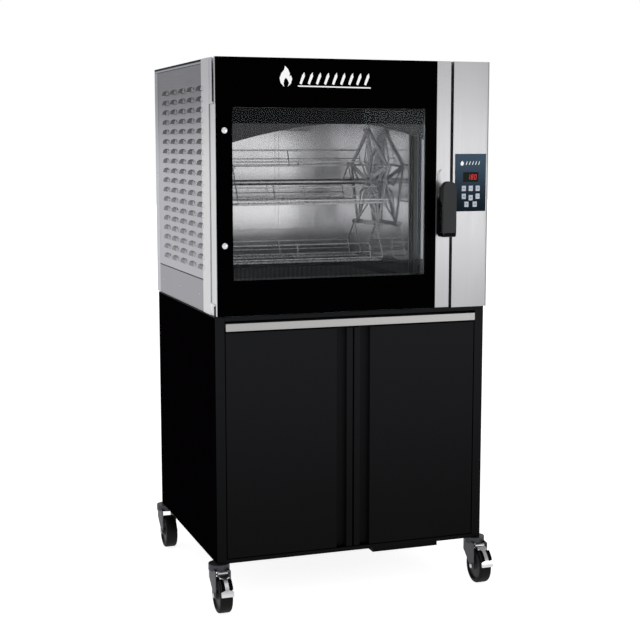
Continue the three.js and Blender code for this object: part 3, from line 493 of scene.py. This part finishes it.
def side_panel(name, sign):
    """The slotted sheet with its hoods, the lapped edges round it and the screws that hold it."""
    node = "side_panel_" + name
    lo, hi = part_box(node)
    face = hi.x if sign > 0 else lo.x
    hoods = Shape()
    for column in range(LOUVRE_COLUMNS):
        for row in range(LOUVRE_ROWS):
            centre = at(0, LOUVRE_FIRST[0] + column * LOUVRE_PITCH[0],
                        LOUVRE_FIRST[1] + row * LOUVRE_PITCH[1])
            louvre_hood(hoods, face, sign, centre.y, centre.z)
    # The hoods' ends take the painted highlight, their tops and sides the painted shade.
    hoods.piece(node + ".hoods", hood_steel_painted_shade, "machine", slot="stainless", sharp=20, extra=(hood_end_highlight,),
                pick=lambda normal, centre: 1 if abs(normal.y) > 0.5 else 0)
    rounded_copy(node, side_steel, 0.3 * MM, "stainless")

    front, back = lo.y + 1 * MM, hi.y - 0.5 * MM

    def lap(piece, material, y0, y1, z0, z1, proud):
        """A strip on the side, of sheet or of painted shade: z0 to z1 millimetres above the roof, standing out by
        proud.
        """
        Shape().block((face, y0, ROOF_Z + z0 * MM), (face + sign * proud * MM, y1, ROOF_Z + z1 * MM)).piece(
            f"side_{piece}_{name}", material, "machine", 0.2 * MM, slot="stainless")

    flange = back - 52 * MM
    lap("flange", flange_steel, flange, back - 5 * MM, SIDE_BOTTOM, -16, 1.2)
    # The near-black strips are painted shade in the gaps along the back edge, over the foot and at the roof's laps.
    lap("rear_edge", seam_shade, back - 4.6 * MM, back, SIDE_BOTTOM, -1, 0.6)
    lap("foot", low_steel, front, flange - 2 * MM, SIDE_BOTTOM, -753, 1.2)
    lap("foot_seam_shade", seam_shade, front, flange - 2 * MM, -752.6, -749.5, 0.5)
    lap("roof_edge", seam_shade, front, back - 5 * MM, -7.5, -0.6, 0.9)
    lap("roof_lap", flange_steel, front, back - 5 * MM, -14.5, -8, 1.4)
    lap("roof_seam_shade", seam_shade, front, flange - 0.5 * MM, -16.4, -14.9, 0.5)
    screws = Shape()
    out = face + sign * 1.2 * MM
    for z in (-60, -400, -735):
        screw(screws, (out, back - 28 * MM, ROOF_Z + z * MM), ("x", sign), 3.6 * MM, 1.8 * MM)
    for y in (230, 520, 780):
        screw(screws, (out, CORNER.y + y * MM, ROOF_Z - 806 * MM), ("x", sign), 3.6 * MM, 1.8 * MM)
    screws.piece(f"side_screws_{name}", bright, "machine", slot="stainless")


side_panel("left", -1)
side_panel("right", 1)

rounded_copy("roof_panel", back_steel, 0.5 * MM, "stainless")
rounded_copy("base_panel", back_steel, 0.5 * MM, "stainless")
rounded_copy("front_post", post_steel, 0.5 * MM, "stainless")
rounded_copy("control_column", steel, 0.6 * MM, "stainless")
rounded_copy("front_frame", back_steel, 0.4 * MM, "stainless")
rounded_copy("back_panel", back_steel, 0.4 * MM, "stainless")
rounded_copy("cable_inlet", rubber, 0.8 * MM, "seal_rubber")
rounded_copy("door_seal", rubber, 1.5 * MM, "seal_rubber", 3)

back_lo, back_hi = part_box("back_panel")
screws = Shape()
# Where the screws sit, as shares of the back's width and height.
BACK_SCREWS = [(x, z) for x in (0.03, 0.27, 0.5, 0.73, 0.97) for z in (0.03, 0.97)]
BACK_SCREWS += [(x, z) for x in (0.015, 0.985) for z in (0.28, 0.52, 0.76)]
for x, z in BACK_SCREWS:
    place = (back_lo.x + x * (back_hi.x - back_lo.x), back_hi.y, back_lo.z + z * (back_hi.z - back_lo.z))
    screw(screws, place, ("y", 1), 4 * MM, 2 * MM)
screws.piece("back_screws", bright, "machine", slot="stainless")
nut = Shape()
inlet_lo, inlet_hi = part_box("cable_inlet")
inlet_c = (inlet_lo + inlet_hi) / 2
nut.turned("y", (inlet_c.x, back_hi.y, inlet_c.z),
           mm((17, 0.1), (24, 0.1), (24, 4), (22, 6), (17, 6)), 6, True)
nut.piece("cable_inlet_nut", deep_black, "machine", 0.5 * MM, slot="seal_rubber")

# ---------------------------------------------------------------- cavity
rounded_copy("cavity_back", liner_back, 0.3 * MM, "liner")
paint("cavity_side_right", liner_side)
rounded_copy("cavity_side_left", liner_side, 0.3 * MM, "liner")
paint("cavity_roof", liner_roof)
paint("cavity_floor", liner_floor)
rounded_copy("drip_tray", liner_floor, 0.7 * MM, "polished")
rounded_copy("fan_cover", liner_back, 1.2 * MM, "liner")
cover_lo, cover_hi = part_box("fan_cover")
for i, x in enumerate((416, 431)):
    Shape().block((at(x, 0, 0).x, cover_lo.y - 3 * MM, cover_lo.z + 14 * MM),
                  (at(x + 3, 0, 0).x, cover_lo.y - 0.05 * MM, cover_hi.z - 14 * MM)).piece(
        f"fan_cover_rib_{i + 1}", bright, "machine", 0.5 * MM, slot="liner")
rounded_copy("fan", bright, 0.3 * MM, "polished")
rounded_copy("gear_motor", motor_paint, 2.5 * MM, "motor_paint", 3)

cavity_lo = Vector((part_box("cavity_side_left")[1].x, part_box("cavity_roof")[0].y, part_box("cavity_floor")[1].z))
cavity_hi = Vector((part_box("cavity_side_right")[0].x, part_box("cavity_back")[0].y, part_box("cavity_roof")[0].z))
LAMP_HEIGHTS = (0.80, 0.30)  # shares of the cavity's height
for i, height in enumerate(LAMP_HEIGHTS):
    z = cavity_lo.z + height * (cavity_hi.z - cavity_lo.z)
    c = (cavity_lo.x, cavity_lo.y + 60 * MM, z)
    ring = Shape().turned("x", c, mm((27, 0), (36, 0), (36, 5), (31, 7), (27, 5)), 40, True)
    ring.piece(f"cavity_lamp_ring_{i + 1}", bright, "machine", 0.4 * MM, slot="liner")
    glow = Shape().turned("x", c, mm((0, 0.5), (26.5, 0.5), (26.5, 4), (16, 8), (0, 9)))
    glow.piece(f"cavity_lamp_{i + 1}", lamp_glow, "machine", slot="liner")

# ---------------------------------------------------------------- rotor
shaft_lo, shaft_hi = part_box("rotor_shaft")
hub = (shaft_lo + shaft_hi) / 2
rounded_copy("rotor_shaft", frame_bar, 0.6 * MM, "polished", 2)
PIN_CIRCLE = 190 * MM


def pin_offset(k):
    angle = math.pi / 2 + k * 2 * math.pi / 5
    return PIN_CIRCLE * math.cos(angle), PIN_CIRCLE * math.sin(angle)


STAR_PLATE = 5 * MM
RIM_BAR, SPOKE_BAR, STRUT_BAR = 8 * MM, 7 * MM, 3.5 * MM  # half widths
SHAFT_HOLE, HUB_TUBE, HUB_DISC, PIN_DISC = 10.4 * MM, 17 * MM, 26 * MM, 11.5 * MM  # radii


def star(node, inward):
    """A frame of flat bars: a pentagon between the pins, spokes to the hub, and the pins themselves."""
    lo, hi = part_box(node)
    plate = (lo.x, lo.x + STAR_PLATE) if inward > 0 else (hi.x - STAR_PLATE, hi.x)
    pin_end = hi.x if inward > 0 else lo.x
    shape = Shape()

    def flat_bar(p, q, half, inset=0.3 * MM):
        p, q = Vector(p), Vector(q)
        along = (q - p).normalized()
        across = Vector((-along.y, along.x)) * half
        corners = [p + across, q + across, q - across, p - across]
        shape.slab([(plate[0] + inset, hub.y + c.x, hub.z + c.y) for c in corners],
                   (plate[1] - plate[0] - 2 * inset, 0, 0))

    for k in range(5):
        here, there = Vector(pin_offset(k)), Vector(pin_offset((k + 1) % 5))
        step = (there - here).normalized() * 4 * MM
        flat_bar(here + step, there - step, RIM_BAR)
        flat_bar(here * 0.97, here * 0.11, SPOKE_BAR, 0.0)
        for sign in (-1, 1):
            foot = here * 0.42 + Vector((-here.y, here.x)).normalized() * sign * 40 * MM
            flat_bar(here * 0.95, foot, STRUT_BAR, 0.9 * MM)
            flat_bar(foot, here * 0.10, STRUT_BAR, 0.9 * MM)
        c = (plate[0], hub.y + here.x, hub.z + here.y)
        shape.turned("x", c, [(0, 0), (PIN_DISC, 0), (PIN_DISC, STAR_PLATE), (0, STAR_PLATE)], 24)
    reach = 9 * MM
    step_up = STAR_PLATE + 0.1 * MM
    shape.turned("x", (plate[0], hub.y, hub.z),
                 [(SHAFT_HOLE, 0), (HUB_DISC, 0), (HUB_DISC, STAR_PLATE), (HUB_TUBE, STAR_PLATE),
                  (HUB_TUBE, step_up), (SHAFT_HOLE, step_up)], 36, True)
    boss = plate[1] if inward > 0 else plate[0] - reach
    shape.turned("x", (boss, hub.y, hub.z),
                 [(SHAFT_HOLE, 0), (HUB_TUBE, 0), (HUB_TUBE, reach), (SHAFT_HOLE, reach)], 30, True)
    for k in range(5):
        dy, dz = pin_offset(k)
        start = plate[1] if inward > 0 else plate[0]
        shape.rod((start, hub.y + dy, hub.z + dz), (pin_end, hub.y + dy, hub.z + dz), 4.9 * MM, 14)
    shape.piece(node + ".shaped", frame_bar, "rotor", 0.5 * MM, slot="polished", replaces=(node,))


star("star_left", 1)
star("star_right", -1)


# The long wires of a basket: behind the pin, above the pin, and radius, in millimetres.
LONG_WIRES = ((72, -75, 2.6), (-66, -116, 2.6), (62, -106, 1.8), (44, -128, 1.9), (22, -131, 1.9),
              (0, -131, 1.9), (-22, -131, 1.9), (-44, -128, 1.9))
HOOK = 8.4  # radius of the loop over the pin


def basket(node, k):
    """A trough of long wires on two end frames and a rib, low in front, hung from the pins."""
    lo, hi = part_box(node)
    dy, dz = pin_offset(k)
    cy, cz = hub.y + dy, hub.z + dz
    x0, x1 = lo.x + 2.6 * MM, hi.x - 2.6 * MM
    p = lambda x, y, z: (x, cy + y * MM, cz + z * MM)
    shape = Shape()
    for y, z, r in LONG_WIRES:
        shape.rod(p(x0 - 1 * MM, y, z), p(x1 + 1 * MM, y, z), r * MM, 8)
    for x in (x0, (x0 + x1) / 2, x1):
        dip = [p(x, 12, -128), p(x, 0, -133), p(x, -12, -128)] if x not in (x0, x1) else []
        shape.tube(filleted([p(x, 72, -72), p(x, 50, -128), *dip, p(x, -50, -128), p(x, -67, -112)], 9 * MM),
                   2.1 * MM, 8)
    for x in (x0, x1):
        turns = [math.radians(a) for a in range(-140, 141, 20)]
        loop = [p(x, HOOK * math.sin(a), HOOK * math.cos(a)) for a in turns]
        shape.tube([p(x, -66, -116), *loop, p(x, 72, -75)], 2.3 * MM, 8)
        shape.rod(p(x, -30, -51), p(x, 44, -46), 1.9 * MM, 8)
    shape.piece(node + ".wires", wire, body_of(node), slot="basket_wire", replaces=(node,), sharp=60)


for k in range(5):
    basket(f"basket_{k + 1}", k)

# ---------------------------------------------------------------- oven door
WINDOW = dict(x0=57, x1=754, z0=-741, z1=-165)
glass_lo, glass_hi = GLASS


def frame_outline(lo, hi, x0, x1, z0, z1):
    a, b = at(x0, 0, z0), at(x1, 0, z1)
    return ([(lo.x, lo.z), (hi.x, lo.z), (hi.x, hi.z), (lo.x, hi.z)],
            [[(a.x, a.z), (b.x, a.z), (b.x, b.z), (a.x, b.z)]])


def edge_colour(normal, centre):
    return 1 if abs(normal.y) < 0.5 and (centre.x < glass_lo.x + MM or abs(centre.z - glass_hi.z) < MM
                                         or abs(centre.z - glass_lo.z) < MM) else 0


outer, holes = frame_outline(glass_lo, glass_hi, WINDOW["x0"], WINDOW["x1"], WINDOW["z0"], WINDOW["z1"])
Shape().prism("y", outer, glass_lo.y, glass_hi.y, holes).piece(
    "door_glass_print", ink, "oven_door", 0.4 * MM, slot="black_glass", replaces=("door_glass_outer",),
    extra=(glass_edge,), pick=edge_colour)
a, b = at(WINDOW["x0"] + 0.1, 0.3, WINDOW["z0"] + 0.1), at(WINDOW["x1"] - 0.1, 4.7, WINDOW["z1"] - 0.1)
Shape().block(a, b).piece("door_window", window_glass, "oven_door", slot="black_glass")

# The print behind the window: a dark band along its top, a grey field under it with an arched edge, and a
# lower band of upright lines with a slightly sagging edge. Millimetres, as at() takes them.
ARCH = dict(apex=(466, -215), left=(57, -281), right=(754, -272), power=1.75)
SAG = dict(middle=405, half=348, edge=-686, dip=4)
BAND_BOTTOM = -218  # lower edge of the dark band
PITCH, LINE = 4.6, 3.5  # the upright lines of the lower band
FIELD_STEP = 4  # between the points of the arched edge
PRINT = (5.0, 5.25)  # front and back of the print
EDGE_STRIP = (5.5, 7.5)  # front and back of the two strips beside the window's right edge


def arch_height(x):
    apex, end = ARCH["apex"], ARCH["left"] if x < ARCH["apex"][0] else ARCH["right"]
    t = (x - apex[0]) / (end[0] - apex[0])
    return apex[1] + (end[1] - apex[1]) * abs(t) ** ARCH["power"]


def sag_height(x):
    t = (x - SAG["middle"]) / SAG["half"]
    return SAG["edge"] - SAG["dip"] * (1 - t * t)


Shape().block(at(WINDOW["x0"] + 1, PRINT[0], BAND_BOTTOM),
              at(WINDOW["x1"] - 1, PRINT[1], WINDOW["z1"] - 0.2)).piece(
    "window_band_top", frit_dark, "oven_door", slot="black_glass")
field = Shape()
columns = range(WINDOW["x0"] + 1, WINDOW["x1"] - 1, FIELD_STEP)
for part in ([x for x in columns if x < ARCH["apex"][0]], [x for x in columns if x > ARCH["apex"][0]]):
    part = [x for x in part if arch_height(x) < BAND_BOTTOM - 1]
    loop = [at(x, 0, BAND_BOTTOM - 0.05) for x in part] + [at(x, 0, arch_height(x)) for x in part[::-1]]
    field.prism("y", [(v.x, v.z) for v in loop], at(0, PRINT[0], 0).y, at(0, PRINT[1], 0).y)
field.piece("window_field", frit_grey, "oven_door", slot="black_glass")
low_lines = Shape()
for i in range(int((WINDOW["x1"] - WINDOW["x0"]) / PITCH)):
    x = WINDOW["x0"] + 1 + i * PITCH
    low_lines.block(at(x, PRINT[0], WINDOW["z0"] + 0.2), at(x + LINE, PRINT[1], sag_height(x)))
low_lines.piece("window_band_bottom", frit_dark, "oven_door", slot="black_glass")
for shade, material, x0, x1 in (("dark", edge_blue, 731, 741), ("light", edge_grey, 743, 753)):
    Shape().block(at(x0, EDGE_STRIP[0], -738), at(x1, EDGE_STRIP[1], -217)).piece(
        "window_edge_" + shade, material, "oven_door", 0.2 * MM, slot="black_glass")

studs = Shape()
STUD = mm((0, -4.5), (7, -4.2), (10, -2.6), (11, -0.6), (11, -0.05), (0, -0.05))
for x, z in ((30, -241), (28, -623)):
    studs.turned("y", at(x, 0, z), STUD, 32)
studs.piece("door_studs", bright, "oven_door", slot="polished")

# A plain printed ornament: a flame beside a row of tapering strokes over a thin rule.
mark = Shape()


STROKES, STROKE_FIRST, STROKE_PITCH = 9, 292, 29


def mark_plate(outline):
    front, back = glass_lo.y - 0.25 * MM, glass_lo.y - 0.05 * MM
    mark.prism("y", [(at(u, 0, v).x, at(u, 0, v).z) for u, v in outline], front, back)


mark_plate([(238, -96), (226, -84), (222, -68), (228, -52), (238, -40), (241, -27), (252, -38), (258, -52),
            (256, -62), (262, -58), (266, -70), (262, -85), (250, -96), (255, -84), (251, -74), (244, -66),
            (238, -74), (236, -85)])
for i in range(STROKES):
    x = STROKE_FIRST + i * STROKE_PITCH
    mark_plate([(x, -84), (x + 7, -88), (x + 19, -60), (x + 17, -47), (x + 10, -56)])
mark_plate([(286, -95), (548, -98), (548, -94), (286, -91)])
mark.piece("door_ornament", white_print, "oven_door", slot="black_glass")

rounded_copy("door_stile", steel, 0.6 * MM, "stainless")
NOTCH = dict(x=(-6, 44), top=-158, bottom=-817)  # the hollows of the two hinges in the door's left edge


def frame_face(normal, centre):
    x, z = (centre.x - CORNER.x) / MM, (centre.z - CORNER.z) / MM
    return 1 if NOTCH["x"][0] < x < NOTCH["x"][1] and (z > NOTCH["top"] or z < NOTCH["bottom"]) else 0


# The frame's faces inside the hinges' hollows are painted near black: painted shade in the recesses.
rounded_copy("door_frame", post_steel, 0.5 * MM, "stainless", extra=(deep_black,), pick=frame_face)
paint("door_glass_inner", window_glass)

rounded_copy("latch_base", deep_black, 3 * MM, "charcoal_plastic", 3)
rounded_copy("door_lever", charcoal, 5 * MM, "charcoal_plastic", 4)
lever_lo, lever_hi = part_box("door_lever")
# A thin bright strip on the lever's left side: a painted highlight along its rounded edge.
Shape().block((lever_lo.x - 0.15 * MM, lever_lo.y + 5.5 * MM, at(0, 0, -590).z),
              (lever_lo.x + 0.5 * MM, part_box("latch_base")[0].y - 0.8 * MM, at(0, 0, -483).z)).piece(
    "lever_side_highlight", bright, body_of("door_lever"), 0.05 * MM, slot="polished")
Shape().block((lever_lo.x - 0.3 * MM, lever_lo.y - 0.3 * MM, lever_lo.z),
              (lever_hi.x + 0.3 * MM, lever_hi.y, lever_lo.z + 18 * MM)).piece(
    "lever_cap", deep_black, body_of("door_lever"), 5 * MM, 4, slot="charcoal_plastic")
Shape().tube(filleted([at(816, -5, -374), at(805, -6, -385), at(805, -6, -470)], 6 * MM), 1.2 * MM, 8).piece(
    "latch_wire", back_steel, "oven_door", slot="polished")

# ---------------------------------------------------------------- control panel
rounded_copy("control_panel", navy, 0.8 * MM, "keypad", 3)
panel_c = (panel_lo + panel_hi) / 2
face_y = panel_lo.y
# Bars of each sign: middle across and up, half width and half height, in millimetres.
KEY_SIGNS = (((0, 0, 3.4, 0.8), (0, 0, 0.8, 3.4)),
             ((0, 0, 3.4, 0.8),),
             ((0, 2.4, 3.2, 0.6), (0, 0, 3.2, 0.6), (0, -2.4, 3.2, 0.6)),
             ((-2, 0, 1.1, 2.8), (2, 0, 1.1, 2.8)))
for i in range(8):
    rounded_copy(f"key_{i + 1}", key_plastic, 1.3 * MM, "key_plastic", 3)
    lo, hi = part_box(f"key_{i + 1}")
    c = (lo + hi) / 2
    sign = Shape()
    y = (lo.y - 0.12 * MM, lo.y + 0.1 * MM)
    dot = lambda u, v, w, h: sign.block((c.x + (u - w) * MM, y[0], c.z + (v - h) * MM),
                                        (c.x + (u + w) * MM, y[1], c.z + (v + h) * MM))
    for bar in KEY_SIGNS[i % len(KEY_SIGNS)]:
        dot(*bar)
    sign.piece(f"key_glyph_{i + 1}", glyph, body_of(f"key_{i + 1}"), slot="key_plastic")

display_top = panel_hi.z - 64 * MM
display_x = (panel_c.x - 29.2 * MM, panel_c.x + 29.2 * MM)
display_z = (display_top - 33.7 * MM, display_top - 0.3 * MM)
Shape().block((display_x[0], face_y + 0.25 * MM, display_z[0]),
              (display_x[1], face_y + 1.1 * MM, display_z[1])).piece(
    "display_lens", lens, "machine", 0.4 * MM, slot="keypad")
digits = Shape()
SEGMENTS = {"1": "bc", "8": "abcdefg", "0": "abcdef"}


def digit(symbol, x, z, w, h, thick=1.5, gap=0.25, lean=0.12):
    """A leaning seven-segment figure of width w and height h, its lower left corner at x, z."""
    middle = h / 2
    spans = dict(a=(0, h - thick, w, h), b=(w - thick, middle, w, h), c=(w - thick, 0, w, middle),
                 d=(0, 0, w, thick), e=(0, 0, thick, middle), f=(0, middle, thick, h),
                 g=(0, middle - thick / 2, w, middle + thick / 2))
    for segment in SEGMENTS[symbol]:
        u0, v0, u1, v1 = spans[segment]
        corners = ((u0 + gap, v0 + gap), (u1 - gap, v0 + gap), (u1 - gap, v1 - gap), (u0 + gap, v1 - gap))
        quad = [(x + (u + v * lean) * MM, face_y + 0.18 * MM, z + v * MM) for u, v in corners]
        digits.slab(quad, (0, 0.1 * MM, 0))


for i, symbol in enumerate("180"):
    digit(symbol, display_x[0] + (17 + i * 12.5) * MM, display_z[0] + 8 * MM, 8, 17)
digits.piece("display_digits", red_glow, "machine", slot="keypad")
badge = Shape()
flame = [(-12, -9), (-15, -3), (-12, 3), (-8, 9), (-6, 3), (-3, 5), (-2, -3), (-6, -9)]
badge.prism("y", [(panel_c.x - 26 * MM + u * MM, panel_hi.z - 32 * MM + v * MM) for u, v in flame],
            face_y - 0.15 * MM, face_y - 0.02 * MM)
for i in range(5):
    x = panel_c.x + (-20 + i * 12) * MM
    z = panel_hi.z - 38 * MM
    badge.slab([(x + u * MM, face_y - 0.15 * MM, z + v * MM) for u, v in ((0, 0), (3, 0), (7, 12), (5, 12))],
               (0, 0.13 * MM, 0))
badge.piece("panel_ornament", white_print, "machine", slot="keypad")

# ---------------------------------------------------------------- stand
for node in ("stand_side_left", "stand_side_right"):
    # Faces turned to the sides take the darker copy, painted shade.
    rounded_copy(node, black_steel, 0.6 * MM, "black_steel", extra=(black_side_painted_shade,),
                 pick=lambda n, c: 1 if abs(n.x) > 0.7 else 0)
for node in ("stand_back", "stand_top", "stand_floor", "stand_door_left", "stand_door_right"):
    rounded_copy(node, black_steel, 0.8 * MM, "black_steel")
rounded_copy("pullout_shelf", bar_steel, 0.7 * MM, "stainless")

# ---------------------------------------------------------------- castors
AXLE_HOLE, BOSS, DISH = 5.4 * MM, 13 * MM, 16 * MM  # radii of the wheel's core
RIM, TYRE_SEAT = 19 * MM, 16.5 * MM  # how far inside the tread they lie
TREAD_CORNER = 7 * MM
FORK_FACE = 5.5 * MM  # outside of a fork's leg, from the wheel's side
AXLE_NUT = mm((0, 0), (9.5, 0), (9.5, 5.5), (8, 6.5), (0, 6.5))


def castor(end, side):
    """The fork with its nuts, and the wheel as a tyre on a dished hub."""
    fork = f"castor_fork_{end}_{side}"
    wheel = f"castor_wheel_{end}_{side}"
    rounded_copy(fork, fork_metal, 0.8 * MM, "fork_metal")
    lo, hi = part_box(wheel)
    c = (lo + hi) / 2
    w, r = (hi.x - lo.x) / 2, (hi.z - lo.z) / 2
    tread = [(r - 17 * MM, -w + 3 * MM), (r - 13 * MM, -w), (r - TREAD_CORNER, -w)]
    tread += [(r - TREAD_CORNER + TREAD_CORNER * math.sin(t), -w + TREAD_CORNER * (1 - math.cos(t)))
              for t in (0.4, 0.8, 1.2, 1.57)]
    tread += [(radius, -along) for radius, along in tread[::-1]]
    shape = Shape().turned("x", c, tread, 56, True)
    shape.piece(wheel + ".tyre", tyre, body_of(wheel), slot="wheel_tyre", replaces=(wheel,))
    half = [(AXLE_HOLE, -w), (BOSS, -w), (DISH, -w + 4 * MM), (r - RIM, -w + 6 * MM),
            (r - TYRE_SEAT, -w + 3.2 * MM)]
    core = Shape().turned("x", c, half + [(radius, -along) for radius, along in half[::-1]], 48, True)
    core.piece(wheel + ".hub", hub_grey, body_of(wheel), slot="wheel_tyre")
    bolts = Shape()
    for sign in (-1, 1):
        face = c.x + sign * (w + FORK_FACE)
        bolts.turned("x", (face, c.y, c.z), [(radius, sign * along) for radius, along in AXLE_NUT], 6)
    bolts.piece(fork + ".axle_nuts", bright, body_of(fork), 0.5 * MM, slot="polished")


for end in ("front", "rear"):
    for side in ("left", "right"):
        castor(end, side)


def strap(shape, axle, inner, outer, stations):
    """A plate bent round the axle. A station is an angle from the back and the plate's two edges."""
    rings = []
    for angle, left, right in stations:
        out = Vector((0, math.cos(math.radians(angle)), math.sin(math.radians(angle))))
        rings.append([shape.bm.verts.new(axle + out * r * MM + Vector((x * MM, 0, 0)))
                      for r, x in ((inner, left), (inner, right), (outer, right), (outer, left))])
    for a, b in zip(rings, rings[1:]):
        for i in range(4):
            shape.bm.faces.new([a[i], a[(i + 1) % 4], b[(i + 1) % 4], b[i]])
    shape.bm.faces.new(rings[0][::-1])
    shape.bm.faces.new(rings[-1])


def even(start, stop, half, parts=4):
    """Stations of equal width from one angle to another."""
    return [(start + (stop - start) * i / parts, -half, half) for i in range(parts + 1)]


PLATE, PAD, PAD_WEB, PAD_RIB = (70.2, 76), (69, 78), (67.6, 68.9), (78.02, 79.6)  # radii round the axle
PADS = dict(start=122, pitch=3.4, length=2.2, count=9)  # degrees
EYE = mm((3.5, -18), (6.9, -18), (6.9, 18), (3.5, 18))
EYE_PLACE = Vector((0, -2 * MM, 73.5 * MM))  # the pin, from the axle


def brake(side):
    """A bright plate, broad at its pin, narrow between two ribbed pads and broad again at the foot."""
    pedal = f"brake_pedal_{side}"
    wheel_lo, wheel_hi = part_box(f"castor_wheel_front_{side}")
    axle = (wheel_lo + wheel_hi) / 2
    plate, pads = Shape(), Shape()
    strap(plate, axle, *PLATE, even(97, 113, 18) + even(117, 152, 7.5) + even(156, 170, 21.8))
    plate.turned("x", axle + EYE_PLACE, EYE, 24, True)
    plate.piece(pedal + ".plate", bright, body_of(pedal), 0.8 * MM, 3, slot="polished", replaces=(pedal,))
    for left, right in ((-20, -8), (8, 20)):
        stations = []
        for i in range(PADS["count"]):
            angle = PADS["start"] + i * PADS["pitch"]
            stations += [(angle, left, right), (angle + PADS["length"], left, right)]
        strap(pads, axle, *PAD, stations)
        for angle in range(124, 148, 5):
            strap(pads, axle, *PAD_RIB, [(angle, left, right), (angle + 2.4, left, right)])
    strap(pads, axle, *PAD_WEB, even(122, 151.4, 19.8))
    pads.piece(pedal + ".pads", deep_black, body_of(pedal), 0.5 * MM, slot="charcoal_plastic")


for side in ("left", "right"):
    brake(side)

# ---------------------------------------------------------------- floor, light and camera
floor_mesh = bpy.data.meshes.new("floor")
floor_mesh.from_pydata([(-30, -30, 0), (30, -30, 0), (30, 30, 0), (-30, 30, 0)], [], [(0, 1, 2, 3)])
floor = bpy.data.objects.new("floor", floor_mesh)
bpy.context.scene.collection.objects.link(floor)
floor_paint = surface("floor_white", (0.90, 0.90, 0.90), 0.9, 0.0, (8, 8, 8), 0.005, 0.02, 0.0, specular=0.0)
floor_paint.node_tree.nodes["Principled BSDF"].inputs["Emission Color"].default_value = (1, 1, 1, 1)
floor_paint.node_tree.nodes["Principled BSDF"].inputs["Emission Strength"].default_value = 0.85
floor_mesh.materials.append(floor_paint)
floor.visible_glossy = False
floor.location.z = cad_bounds[0][2] - 0.0005

world = bpy.data.worlds.new("studio")
bpy.context.scene.world = world
world.use_nodes = True
wn, wl = world.node_tree.nodes, world.node_tree.links
room = wn["Background"]
room.inputs["Strength"].default_value = 1.0


def room_light(direction, start, stop, low, high):
    """Brightness of the studio along a direction: low behind it, high in front of it."""
    where = wn.new("ShaderNodeTexCoord")
    dot = wn.new("ShaderNodeVectorMath")
    dot.operation = "DOT_PRODUCT"
    dot.inputs[1].default_value = Vector(direction).normalized()
    wl.new(where.outputs["Generated"], dot.inputs[0])
    fade = wn.new("ShaderNodeMapRange")
    fade.interpolation_type = "SMOOTHSTEP"
    for label, value in (("From Min", start), ("From Max", stop), ("To Min", low), ("To Max", high)):
        fade.inputs[label].default_value = value
    wl.new(dot.outputs["Value"], fade.inputs["Value"])
    return fade.outputs["Result"]


# Bright in front, dimmer behind and to the left, and dim below, where the floor's own light comes from.
ahead = room_light((0.25, -0.97, 0.0), -0.7, 0.85, 0.71, 1.0)
overhead = room_light((0.0, 0.0, 1.0), 0.05, 0.75, 1.0, 0.42)
beside = room_light((1.0, 0.0, 0.0), 0.55, 0.95, 1.0, 0.6)
both = wn.new("ShaderNodeMath")
both.operation = "MULTIPLY"
wl.new(ahead, both.inputs[0])
wl.new(overhead, both.inputs[1])
level = wn.new("ShaderNodeMath")
level.operation = "MULTIPLY"
wl.new(both.outputs["Value"], level.inputs[0])
wl.new(beside, level.inputs[1])
wl.new(level.outputs["Value"], room.inputs["Color"])
backdrop = wn.new("ShaderNodeBackground")
backdrop.inputs["Color"].default_value = (1, 1, 1, 1)
seen = wn.new("ShaderNodeLightPath")
choose = wn.new("ShaderNodeMixShader")
wl.new(seen.outputs["Is Camera Ray"], choose.inputs["Fac"])
wl.new(room.outputs["Background"], choose.inputs[1])
wl.new(backdrop.outputs["Background"], choose.inputs[2])
wl.new(choose.outputs["Shader"], wn["World Output"].inputs["Surface"])


def area(name, place, target, size, power):
    light = bpy.data.lights.new(name, "AREA")
    light.shape = "RECTANGLE"
    light.size, light.size_y = size
    light.energy = power
    obj = bpy.data.objects.new(name, light)
    bpy.context.scene.collection.objects.link(obj)
    obj.location = place
    obj.rotation_euler = (Vector(target) - Vector(place)).to_track_quat("-Z", "Y").to_euler()
    obj.visible_camera = False
    return obj


area("softbox_front", (1.64, -2.9, 1.36), (0.45, -0.4, 1.36), (1.2, 0.85), 5.5)
area("softbox_top", (-0.6, -2.0, 3.6), (0, 0, 1.0), (3.0, 2.0), 10)

camera_data = bpy.data.cameras.new("camera")
camera_data.sensor_width = 36
camera_data.lens = 75.04
camera = bpy.data.objects.new("camera", camera_data)
bpy.context.scene.collection.objects.link(camera)
camera.location = (-1.6472, -4.7137, 1.6006)
camera.rotation_euler = (math.radians(90 - 7.55), 0, math.radians(-19.49))
bpy.context.scene.camera = camera
bpy.context.scene.view_settings.view_transform = "Standard"
